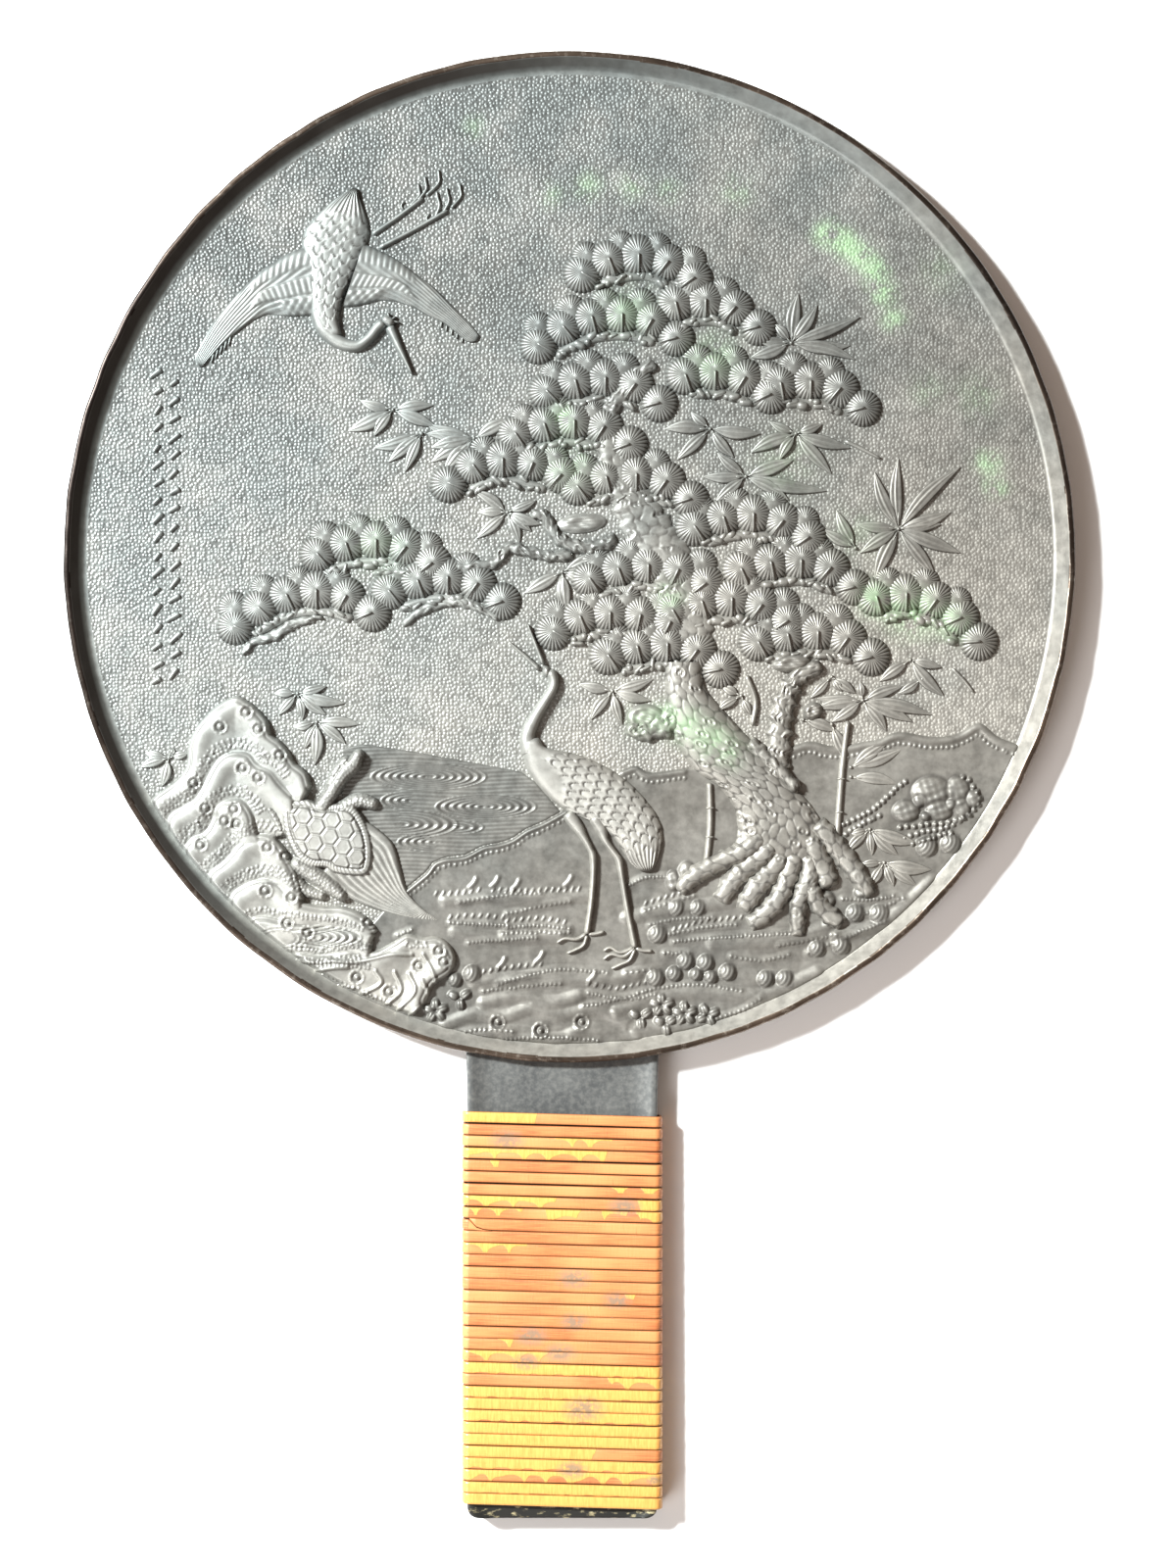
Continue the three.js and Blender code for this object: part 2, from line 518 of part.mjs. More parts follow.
function piece(name, geometry, material) {
  const mesh = new THREE.Mesh(geometry, material);
  mesh.name = name;
  return mesh;
}

const seam = bindingTop - upperTurns * strandWidth - bindingClearance;
const mirror = new THREE.Group();
mirror.add(piece('mirror_casting', toGeometry(casting()), bronze));
mirror.add(piece('upper_binding', binding(bindingTop, upperTurns), rattan));
mirror.add(piece('lower_binding', binding(seam, lowerTurns), rattan));

export default mirror;
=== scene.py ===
# An old cast bronze hand mirror, lying on its polished face, its handle bound in split rattan.
# Shapes are worked out in millimetres and set into meshes in metres.
import math
import bmesh
import bpy
import numpy as np
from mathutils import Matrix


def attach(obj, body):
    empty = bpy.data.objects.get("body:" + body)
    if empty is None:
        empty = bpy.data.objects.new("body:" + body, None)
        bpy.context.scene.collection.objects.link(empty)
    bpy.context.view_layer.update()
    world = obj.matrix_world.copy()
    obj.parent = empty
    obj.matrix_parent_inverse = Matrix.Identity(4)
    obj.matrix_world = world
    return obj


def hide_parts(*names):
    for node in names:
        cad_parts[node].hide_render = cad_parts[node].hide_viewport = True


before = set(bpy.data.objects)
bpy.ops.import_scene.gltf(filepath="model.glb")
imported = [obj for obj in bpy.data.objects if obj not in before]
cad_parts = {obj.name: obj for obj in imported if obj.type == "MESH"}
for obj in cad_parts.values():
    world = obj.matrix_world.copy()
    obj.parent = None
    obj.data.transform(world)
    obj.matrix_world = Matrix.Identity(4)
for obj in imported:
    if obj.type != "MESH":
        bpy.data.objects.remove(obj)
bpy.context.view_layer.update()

mm = 0.001
groundZ = 3.0      # the pitted ground of the back, above the polished face
landZ = 3.3        # the smooth shore and hills
sunk = 0.35        # how far a figure's edge runs into the casting
print("frame loaded")


# A smooth line: a Catmull-Rom cubic through the points, then count places evenly spaced by length.
# A third column, such as a width, is carried along.
def smoothLine(points, count):
    p = np.asarray(points, float)
    ends = np.vstack([2 * p[0] - p[1], p, 2 * p[-1] - p[-2]])
    t = np.linspace(0, len(p) - 1, 24 * len(p))
    i = np.minimum(t.astype(int), len(p) - 2)
    f = (t - i)[:, None]
    a, b, c, d = (ends[i + k] for k in range(4))
    fine = 0.5 * (2 * b + (c - a) * f + (2 * a - 5 * b + 4 * c - d) * f ** 2
                  + (3 * b - a - 3 * c + d) * f ** 3)
    length = np.concatenate([[0], np.cumsum(np.hypot(*np.diff(fine[:, :2], axis=0).T))])
    at = np.linspace(0, length[-1], count)
    return np.stack([np.interp(at, length, column) for column in fine.T], 1)


# The unit normals of a line: its tangent turned a quarter turn to the left
def normalsOf(line):
    d = np.gradient(line[:, :2], axis=0)
    d = d / np.maximum(np.hypot(d[:, 0], d[:, 1]), 1e-9)[:, None]
    return np.stack([-d[:, 1], d[:, 0]], 1)


# Length along a line at each of its points
def runOf(line):
    return np.concatenate([[0], np.cumsum(np.hypot(*np.diff(line[:, :2], axis=0).T))])


# A soft step: 0 below low, 1 above high, 3s^2 - 2s^3 between
def softStep(low, high, value):
    s = np.clip((value - low) / (high - low), 0, 1)
    return s * s * (3 - 2 * s)


# A quarter circle: 0 at the start of the share, 1 at its end, (1 - (1 - s)^2)^0.5 between
def quarterCircle(share):
    return np.sqrt(np.clip(1 - (1 - np.clip(share, 0, 1)) ** 2, 0, 1))


# Presses what stands above a knee down under a soft ceiling: knee + reach tanh((z - knee) / 0.9)
def softCeiling(z, knee, reach):
    return np.where(z > knee, knee + reach * np.tanh((z - knee) / 0.9), z)


# An uneven field between -1 and 1: the mean of seven sine waves with seeded headings
def uneven(x, y, size, seed):
    rng = np.random.default_rng(seed)
    total = 0
    for heading, phase, pace in zip(rng.uniform(0, 6.28, 7), rng.uniform(0, 6.28, 7),
            rng.uniform(0.6, 1.6, 7)):
        total = total + np.sin((x * math.cos(heading) + y * math.sin(heading)) * pace * 6.28 / size + phase)
    return total / 3.0


# Distance to the nearest of a jittered lattice of seeds, and to the second nearest, in lattice steps
def seedDistance(x, y, seed, jitter=0.7):
    near = np.full(np.shape(x), 9.0)
    second = np.full(np.shape(x), 9.0)
    ix, iy = np.floor(x), np.floor(y)
    for dx in (-1, 0, 1):
        for dy in (-1, 0, 1):
            a, b = ix + dx, iy + dy
            h = np.sin(a * 127.1 + b * 311.7 + seed * 17.3) * 43758.5453
            g = np.sin(a * 269.5 + b * 183.3 + seed * 9.1) * 24634.6345
            px = a + 0.5 + jitter * (h - np.floor(h) - 0.5)
            py = b + 0.5 + jitter * (g - np.floor(g) - 0.5)
            d = np.hypot(x - px, y - py)
            second = np.minimum(second, np.maximum(near, d))
            near = np.minimum(near, d)
    return near, second


# Four corners for each face of a grid of point numbers
def gridQuads(index):
    return np.stack([index[:-1, :-1], index[:-1, 1:], index[1:, 1:], index[1:, :-1]], -1).reshape(-1, 4)


# One surface of a figure: a grid of points, faces between neighbours, turned so that they look up
def surface(x, y, z, wrap=False, dirtAndShade=0.0, u=0.0, v=0.0, skin=0.0, faceUp=True):
    x, y, z = np.broadcast_arrays(x, y, z)
    rows, cols = x.shape
    index = np.arange(rows * cols).reshape(rows, cols)
    if wrap:
        index = np.hstack([index, index[:, :1]])
    quads = gridQuads(index)
    points = np.stack([x, y, z], -1).reshape(-1, 3)
    if faceUp:
        q = points[quads]
        d1, d2 = q[:, 2] - q[:, 0], q[:, 3] - q[:, 1]
        if (d1[:, 0] * d2[:, 1] - d1[:, 1] * d2[:, 0]).sum() < 0:
            quads = quads[:, ::-1]
    flat = lambda a: np.broadcast_to(a, (rows, cols)).reshape(-1).astype(float)
    return {"points": points, "quads": quads, "dirtAndShade": flat(dirtAndShade), "u": flat(u), "v": flat(v),
            "skin": flat(skin)}


# Puts the surfaces of one piece into one mesh, merges the poles and the seams, and shades it smooth
def makePiece(name, surfaces, materials, slot, node, materialOf=None, recalculate=False, sharp=None):
    points = np.vstack([s["points"] for s in surfaces]) * mm
    starts = np.concatenate([[0], np.cumsum([len(s["points"]) for s in surfaces])])
    quads = np.vstack([s["quads"] + start for s, start in zip(surfaces, starts)])
    mesh = bpy.data.meshes.new(name)
    mesh.vertices.add(len(points))
    mesh.vertices.foreach_set("co", points.ravel())
    mesh.loops.add(quads.size)
    mesh.loops.foreach_set("vertex_index", quads.ravel().astype(np.int32))
    mesh.polygons.add(len(quads))
    mesh.polygons.foreach_set("loop_start", np.arange(0, quads.size, 4, dtype=np.int32))
    mesh.polygons.foreach_set("use_smooth", np.ones(len(quads), bool))
    shares = {"dirtAndShade": np.concatenate([s["dirtAndShade"] for s in surfaces]), "verdigris": verdigrisAt(points / mm)}
    if slot == "rattan":
        shares["skin"] = np.concatenate([s["skin"] for s in surfaces])
    for key, share in shares.items():
        layer = mesh.attributes.new(key, "FLOAT", "POINT")
        layer.data.foreach_set("value", share.astype(np.float32))
    uv = mesh.uv_layers.new(name="along")
    both = np.stack([np.concatenate([s[k] for s in surfaces]) for k in ("u", "v")], 1)
    uv.data.foreach_set("uv", both[quads.ravel()].ravel().astype(np.float32))
    mesh.update(calc_edges=True)
    work = bmesh.new()
    work.from_mesh(mesh)
    bmesh.ops.remove_doubles(work, verts=work.verts, dist=2e-6)
    bmesh.ops.dissolve_degenerate(work, edges=work.edges, dist=1e-7)
    if recalculate:
        bmesh.ops.recalc_face_normals(work, faces=work.faces)
    work.to_mesh(mesh)
    work.free()
    if materialOf is not None:
        centres = np.empty(len(mesh.polygons) * 3)
        mesh.polygons.foreach_get("center", centres)
        mesh.polygons.foreach_set("material_index", materialOf(centres.reshape(-1, 3) / mm).astype(np.int32))
    if sharp is not None:
        mesh.set_sharp_from_angle(angle=math.radians(sharp))
    piece = bpy.data.objects.new(name, mesh)
    bpy.context.scene.collection.objects.link(piece)
    for material in materials:
        mesh.materials.append(material)
    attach(piece, "root")
    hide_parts(node)
    print("piece", name, len(mesh.polygons), "faces")
    return piece


# Green corrosion: patches given as (x, y, radius, strength), each falling off as exp(-(d / radius)^2)
verdigrisPatches = [
    (54, 68, 2.2, 1), (57.5, 66, 2.4, 1), (61, 63.4, 2.4, 1), (64, 60, 2.2, 1), (66, 55.6, 2.2, 0.9),
    (68, 50, 2, 0.7), (88, 20, 2.2, 0.8), (89.5, 15, 2, 0.7), (-4, 76, 2, 0.3), (4, 78, 2.5, 0.35),
    (13, 78, 2.5, 0.3), (21, 77, 2, 0.3), (35, 77, 3, 0.3), (-1.5, 29, 2.5, 0.5), (21, -8, 2.5, 0.45),
    (64, -9, 3.5, 0.5), (72, -12, 4.5, 0.6), (80, -14, 3.5, 0.45), (24, -35, 3.5, 0.5), (30, -38, 3.5, 0.5),
    (20, -33, 2.5, 0.4), (34, -41, 3, 0.3), (15, -34, 3, 0.35), (-20, 90.5, 2, 0.25), (86, 34, 4, 0.2),
    (75, 35, 3, 0.2), (78, 60, 4, 0.15), (12, 52, 5, 0.25), (30, 42, 5, 0.25), (45, 20, 6, 0.15),
    (-40, 2, 6, 0.15), (0, 20, 5, 0.2), (60, 5, 5, 0.15)]


# The share of corrosion at places in millimetres: the sum of the patches, held between 0 and 1
def verdigrisAt(points):
    total = np.zeros(len(points))
    for x, y, radius, strength in verdigrisPatches:
        total += strength * np.exp(-((points[:, 0] - x) ** 2 + (points[:, 1] - y) ** 2) / radius ** 2)
    return np.clip(total, 0, 1)


# Adds a node and sets its inputs: a socket is linked, anything else is the input's value
def addNode(tree, kind, inputs=None, **settings):
    made = tree.nodes.new(kind)
    for key, value in settings.items():
        setattr(made, key, value)
    for key, value in (inputs or {}).items():
        if isinstance(value, bpy.types.NodeSocket):
            tree.links.new(value, made.inputs[key])
        else:
            made.inputs[key].default_value = value
    return made


# One sum of a Math node
def calculate(tree, operation, a, b=0.0, clamp=False):
    return addNode(tree, "ShaderNodeMath", {0: a, 1: b}, operation=operation, use_clamp=clamp).outputs[0]


# Two colours mixed by a factor, each of the three a socket or a plain value
def mixColour(tree, factor, a, b, blend="MIX"):
    made = addNode(tree, "ShaderNodeMix", data_type="RGBA", blend_type=blend, clamp_factor=True)
    for socket, value in ((made.inputs[0], factor), (made.inputs[6], a), (made.inputs[7], b)):
        if isinstance(value, bpy.types.NodeSocket):
            tree.links.new(value, socket)
        else:
            socket.default_value = value if isinstance(value, float) else (*value, 1.0)[:4]
    return made.outputs[2]


# Multiplies a colour by a number that varies over the surface
def shadeBy(tree, colour, value):
    grey = addNode(tree, "ShaderNodeCombineColor", {0: value, 1: value, 2: value}).outputs[0]
    return mixColour(tree, 1.0, colour, grey, "MULTIPLY")


# A ramp: outLow at low, outHigh at high, straight between and level beyond
def rampBetween(tree, value, low, high, outLow=0.0, outHigh=1.0):
    return addNode(tree, "ShaderNodeMapRange", {0: value, 1: low, 2: high, 3: outLow, 4: outHigh},
                   clamp=True).outputs[0]


# A noise texture's value
def noiseOf(tree, vector, scale, detail=3.0, roughness=0.55):
    return addNode(tree, "ShaderNodeTexNoise", {"Vector": vector, "Scale": scale, "Detail": detail,
                                                "Roughness": roughness}).outputs["Fac"]


# An empty node group with its named inputs and outputs
def newGroup(name, inputs, outputs):
    group = bpy.data.node_groups.new(name, "ShaderNodeTree")
    for label, kind, value in inputs:
        socket = group.interface.new_socket(label, in_out="INPUT", socket_type=kind)
        if value is not None:
            socket.default_value = value
    for label, kind in outputs:
        group.interface.new_socket(label, in_out="OUTPUT", socket_type=kind)
    return group, group.nodes.new("NodeGroupInput").outputs, group.nodes.new("NodeGroupOutput")


# Tarnish: two tones drifting into each other across the casting, cloudy at two sizes, made lighter or darker
# towards the handle and to each side as painted light, darker in hollows (patina, and painted shade on the
# wall inside the rim), paler where the relief stands high (wear and a painted highlight), green where
# corrosion sits
tarnishValues = {
    "cool": (0.142, 0.158, 0.155), "warm": (0.158, 0.150, 0.134), "hollow": (0.034, 0.029, 0.025),
    "wearAndHighlight": (0.34, 0.34, 0.32), "green": (0.23, 0.37, 0.20), "cloud": 45.0, "fine": 420.0}


def tarnishGroup():
    tree, given, out = newGroup("tarnish",
        [("Vector", "NodeSocketVector", None), ("DirtAndShade", "NodeSocketFloat", 0.0),
         ("Corrosion", "NodeSocketFloat", 0.0), ("WearAndHighlight", "NodeSocketFloat", 0.0),
         ("Upper tone", "NodeSocketFloat", 1.0), ("Lower tone", "NodeSocketFloat", 1.7),
         ("Left tone", "NodeSocketFloat", 1.0), ("Right tone", "NodeSocketFloat", 1.0)],
        [("Color", "NodeSocketColor"), ("Roughness", "NodeSocketFloat"), ("Height", "NodeSocketFloat")])
    values = tarnishValues
    vector = given["Vector"]
    parts = addNode(tree, "ShaderNodeSeparateXYZ", {0: vector}).outputs
    cloud = noiseOf(tree, vector, values["cloud"], 4.0)
    fine = noiseOf(tree, vector, values["fine"], 4.0, 0.65)
    across = rampBetween(tree, calculate(tree, "SUBTRACT", parts[0], parts[1]), -0.10, 0.08)
    drift = calculate(tree, "ADD", across, calculate(tree, "MULTIPLY",
        calculate(tree, "SUBTRACT", cloud, 0.5), 1.1))
    base = mixColour(tree, drift, values["cool"], values["warm"])
    shade = rampBetween(tree, fine, 0.3, 0.7, 0.78, 1.22)
    cloudShade = rampBetween(tree, cloud, 0.3, 0.7, 0.96, 1.04)
    base = shadeBy(tree, shadeBy(tree, base, shade), cloudShade)
    # painted light: one tone for the upper left of the casting and another towards the handle and the right,
    # standing in for how the light falls across it
    slope = calculate(tree, "ADD", parts[1], calculate(tree, "MULTIPLY", parts[0], 0.2))
    down = rampBetween(tree, slope, 0.05, -0.085, given["Upper tone"], given["Lower tone"])
    sideways = rampBetween(tree, parts[0], -0.09, 0.09, given["Left tone"], given["Right tone"])
    base = shadeBy(tree, base, calculate(tree, "MULTIPLY", down, sideways))
    # paler where the relief stands high: wear on the high points and a painted highlight on their tops
    base = mixColour(tree, given["WearAndHighlight"], base, values["wearAndHighlight"])
    # darker in hollows: patina, and on the wall inside the rim a painted shade
    base = mixColour(tree, given["DirtAndShade"], base, values["hollow"])
    speckle = rampBetween(tree, noiseOf(tree, vector, 260.0, 5.0, 0.7), 0.36, 0.54)
    corroded = calculate(tree, "MULTIPLY", given["Corrosion"], speckle, clamp=True)
    base = mixColour(tree, corroded, base, values["green"])
    rough = calculate(tree, "ADD", rampBetween(tree, fine, 0.3, 0.7, -0.07, 0.07),
                      calculate(tree, "ADD", 0.43, calculate(tree, "MULTIPLY", corroded, 0.3)))
    rough = calculate(tree, "ADD", rough, calculate(tree, "MULTIPLY", given["DirtAndShade"], 0.2), clamp=True)
    tree.links.new(base, out.inputs["Color"])
    tree.links.new(rough, out.inputs["Roughness"])
    crust = calculate(tree, "ADD", calculate(tree, "MULTIPLY", fine, 0.6),
                      calculate(tree, "MULTIPLY", corroded, 0.5))
    tree.links.new(crust, out.inputs["Height"])
    return tree


# Punched ground: small round grains, each the height 1 - (distance to its seed)^2, packed at the given pitch
def grainGroup():
    tree, given, out = newGroup("punchedGrain",
        [("Vector", "NodeSocketVector", None), ("Pitch", "NodeSocketFloat", 0.9)],
        [("Height", "NodeSocketFloat"), ("Hollow", "NodeSocketFloat")])
    scale = calculate(tree, "DIVIDE", 1000.0, given["Pitch"])
    cell = addNode(tree, "ShaderNodeTexVoronoi", {"Vector": given["Vector"], "Scale": scale,
        "Randomness": 0.75}, voronoi_dimensions="2D").outputs["Distance"]
    height = rampBetween(tree, calculate(tree, "POWER", cell, 1.5), 0.0, 0.42, 1.0, 0.0)
    tree.links.new(height, out.inputs["Height"])
    tree.links.new(rampBetween(tree, cell, 0.35, 0.62), out.inputs["Hollow"])
    return tree


# Dust and fingering: a pale film that gathers in cloudy patches
def filmGroup():
    tree, given, out = newGroup("film", [("Vector", "NodeSocketVector", None),
        ("Color", "NodeSocketColor", None), ("Amount", "NodeSocketFloat", 0.2)],
        [("Color", "NodeSocketColor")])
    patch = rampBetween(tree, noiseOf(tree, given["Vector"], 90.0, 5.0, 0.6), 0.45, 0.75)
    share = calculate(tree, "MULTIPLY", patch, given["Amount"], clamp=True)
    tree.links.new(mixColour(tree, share, given["Color"], (0.42, 0.41, 0.38)), out.inputs["Color"])
    return tree


groups = {"tarnish": tarnishGroup(), "grain": grainGroup(), "film": filmGroup()}


# Places a shared group in a material with its own values
def placeGroup(tree, name, inputs):
    return addNode(tree, "ShaderNodeGroup", inputs, node_tree=groups[name]).outputs


# A material with its tree, its shader and the Object coordinates that its patterns read
def newMaterial(name):
    material = bpy.data.materials.new(name)
    material.use_nodes = True
    tree = material.node_tree
    shader = tree.nodes["Principled BSDF"]
    vector = addNode(tree, "ShaderNodeTexCoord").outputs["Object"]
    return material, tree, shader, vector


# The value of one of the piece's own attributes
def attribute(tree, name):
    return addNode(tree, "ShaderNodeAttribute", attribute_name=name).outputs["Fac"]


# Cast bronze, with or without the punched ground; paler on what stands high, as wear and as a painted
# highlight; the four tones paint light, lighter or darker towards the handle and to each side
def bronzeMaterial(name, grain=0.0, wearAndHighlightFrom=0.0038, wearAndHighlightTo=0.0056, film=0.2, metallic=0.5, fineBump=0.00006,
                   tones=(1.0, 1.8, 1.0, 1.05)):
    material, tree, shader, vector = newMaterial(name)
    dirtAndShade = attribute(tree, "dirtAndShade")
    height = addNode(tree, "ShaderNodeSeparateXYZ", {0: vector}).outputs[2]
    # paler on what stands high: wear, and a painted highlight on the tops
    wearAndHighlight = rampBetween(tree, height, wearAndHighlightFrom, wearAndHighlightTo, 0.0, 0.45)
    if grain:
        punched = placeGroup(tree, "grain", {"Vector": vector, "Pitch": 0.76})
        dirtAndShade = calculate(tree, "ADD", dirtAndShade, calculate(tree, "MULTIPLY", punched["Hollow"], 0.16), clamp=True)
        wearAndHighlight = calculate(tree, "MULTIPLY", punched["Height"], 0.04)
    tarnish = placeGroup(tree, "tarnish", {"Vector": vector, "DirtAndShade": dirtAndShade,
        "Corrosion": attribute(tree, "verdigris"), "WearAndHighlight": wearAndHighlight, "Upper tone": tones[0],
        "Lower tone": tones[1], "Left tone": tones[2], "Right tone": tones[3]})
    filmed = placeGroup(tree, "film", {"Vector": vector, "Color": tarnish["Color"], "Amount": film})
    tree.links.new(filmed["Color"], shader.inputs["Base Color"])
    tree.links.new(tarnish["Roughness"], shader.inputs["Roughness"])
    shader.inputs["Metallic"].default_value = metallic
    bump = addNode(tree, "ShaderNodeBump", {"Height": tarnish["Height"], "Strength": 0.5,
        "Distance": fineBump})
    if grain:
        bump = addNode(tree, "ShaderNodeBump", {"Height": punched["Height"], "Strength": 1.0,
            "Distance": grain, "Normal": bump.outputs[0]})
    tree.links.new(bump.outputs[0], shader.inputs["Normal"])
    return material


# each material's tones paint light: its brightness towards the upper left, the handle, the left and the right
castBronze = bronzeMaterial("castBronze")
punchedBronze = bronzeMaterial("punchedBronze", grain=0.00009, metallic=0.45, tones=(0.64, 1.75, 0.62, 1.45))
# the wall inside the rim: its darkness on the side away from the light is painted shade
wallBronze = bronzeMaterial("wallBronze", wearAndHighlightFrom=0.008, wearAndHighlightTo=0.009, film=0.03)
smoothBronze = bronzeMaterial("smoothBronze", wearAndHighlightFrom=0.0038, wearAndHighlightTo=0.0054, film=0.22,
    tones=(0.75, 1.0, 0.66, 1.25))
barkBronze = bronzeMaterial("barkBronze", wearAndHighlightFrom=0.0050, wearAndHighlightTo=0.0066, tones=(0.95, 1.6, 1.0, 1.0))
needleBronze = bronzeMaterial("needleBronze", wearAndHighlightFrom=0.0046, wearAndHighlightTo=0.0066, film=0.1,
    tones=(0.90, 1.35, 0.85, 1.05))
print("bronze made")


# Links a material's colour, roughness and one bump to its shader
def finishShader(tree, shader, colour, roughness, metallic, height, strength, distance):
    tree.links.new(colour, shader.inputs["Base Color"])
    tree.links.new(roughness, shader.inputs["Roughness"])
    shader.inputs["Metallic"].default_value = metallic
    bump = addNode(tree, "ShaderNodeBump", {"Height": height, "Strength": strength, "Distance": distance})
    tree.links.new(bump.outputs[0], shader.inputs["Normal"])


# Bare bronze of the handle: darker and bluer, softly clouded, with rubbed streaks
handleFinish = {"dark": (0.078, 0.082, 0.083), "light": (0.112, 0.115, 0.112), "end": (0.022, 0.022, 0.020),
                "shred": (0.46, 0.40, 0.24)}


def handleMaterial():
    material, tree, shader, vector = newMaterial("handleBronze")
    values = handleFinish
    cloud = noiseOf(tree, vector, 110.0, 5.0, 0.6)
    fine = noiseOf(tree, vector, 900.0, 3.0, 0.6)
    base = mixColour(tree, rampBetween(tree, cloud, 0.35, 0.68), values["dark"], values["light"])
    base = mixColour(tree, rampBetween(tree, fine, 0.40, 0.66, 0.0, 0.35), base, (0.24, 0.24, 0.225))
    # the end of the handle: nearly black, with pale remains of the binding stuck to it
    stretched = addNode(tree, "ShaderNodeMapping", {"Vector": vector, "Scale": (1.0, 2.4, 1.0)}).outputs[0]
    shreds = rampBetween(tree, noiseOf(tree, stretched, 330.0, 5.0, 0.7), 0.55, 0.66)
    end = mixColour(tree, shreds, values["end"], values["shred"])
    base = mixColour(tree, attribute(tree, "dirtAndShade"), base, end)
    roughness = rampBetween(tree, cloud, 0.3, 0.7, 0.42, 0.55)
    finishShader(tree, shader, base, roughness, 0.5, fine, 0.4, 0.00005)
    return material


# The polished face: silvery bronze gone yellow, with faint turning scratches and dark spots of tarnish
faceFinish = {"silver": (0.56, 0.53, 0.46), "tarnished": (0.27, 0.24, 0.19), "spot": (0.06, 0.05, 0.04)}


def faceMaterial():
    material, tree, shader, vector = newMaterial("polishedFace")
    values = faceFinish
    cloud = noiseOf(tree, vector, 22.0, 6.0, 0.62)
    spots = noiseOf(tree, vector, 160.0, 4.0, 0.7)
    stretched = addNode(tree, "ShaderNodeMapping", {"Vector": vector, "Rotation": (0, 0, 0.5),
        "Scale": (1, 30, 1)}).outputs[0]
    scratch = noiseOf(tree, stretched, 90.0, 2.0, 0.7)
    base = mixColour(tree, rampBetween(tree, cloud, 0.38, 0.62), values["silver"], values["tarnished"])
    base = mixColour(tree, rampBetween(tree, spots, 0.66, 0.74, 0.0, 0.85), base, values["spot"])
    roughness = rampBetween(tree, cloud, 0.35, 0.65, 0.16, 0.42)
    finishShader(tree, shader, base, roughness, 1.0, scratch, 0.25, 0.00002)
    return material


# The rim's top, handled until it is smooth: dark brown bronze with pale rubbed places along its edges, and
# painted shade on the side that faces away from the light
rimFinish = {"dark": (0.080, 0.060, 0.046), "brown": (0.17, 0.125, 0.094), "pale": (0.38, 0.33, 0.28),
             "paintedShade": (0.010, 0.007, 0.006)}


def rimMaterial():
    material, tree, shader, vector = newMaterial("rimBronze")
    values = rimFinish
    cloud = noiseOf(tree, vector, 60.0, 5.0, 0.65)
    fine = noiseOf(tree, vector, 700.0, 4.0, 0.65)
    base = mixColour(tree, rampBetween(tree, cloud, 0.38, 0.68), values["dark"], values["brown"])
    base = mixColour(tree, rampBetween(tree, fine, 0.54, 0.68, 0.0, 0.65), base, values["pale"])
    # painted shade: the rim's top and edge darkened on the side away from the light
    base = mixColour(tree, attribute(tree, "dirtAndShade"), base, values["paintedShade"])
    roughness = rampBetween(tree, cloud, 0.3, 0.7, 0.28, 0.40)
    finishShader(tree, shader, base, roughness, 0.85, fine, 0.5, 0.00006)
    return material


handleBronze = handleMaterial()
rimBronze = rimMaterial()
polishedFace = faceMaterial()


# Split rattan: u is millimetres along the strand, v the number of the turn plus the share of the way across
# it. Where the glossy skin is left it is yellow and ends in arches; where it has come off the wood is orange.
rattanFinish = {
    "wood": (0.50, 0.178, 0.056), "pale": (0.60, 0.258, 0.090), "deep": (0.34, 0.092, 0.029),
    "skin": (0.66, 0.345, 0.088), "brownSkin": (0.55, 0.245, 0.058), "groove": (0.13, 0.045, 0.018),
    "grey": (0.20, 0.145, 0.095), "archLength": 5.6}
greyPatches = [
    (11.5, -136, 3.4), (1, -151, 3.6), (10, -155.5, 3.0), (-8, -163, 3.4), (-2, -166.6, 3.4),
    (-9, -168.4, 3.0), (3, -178.4, 4.4), (0.6, -191, 3.2), (17.6, -193.2, 1.6), (-13, -122, 3.6),
    (1, -160, 3.0)]


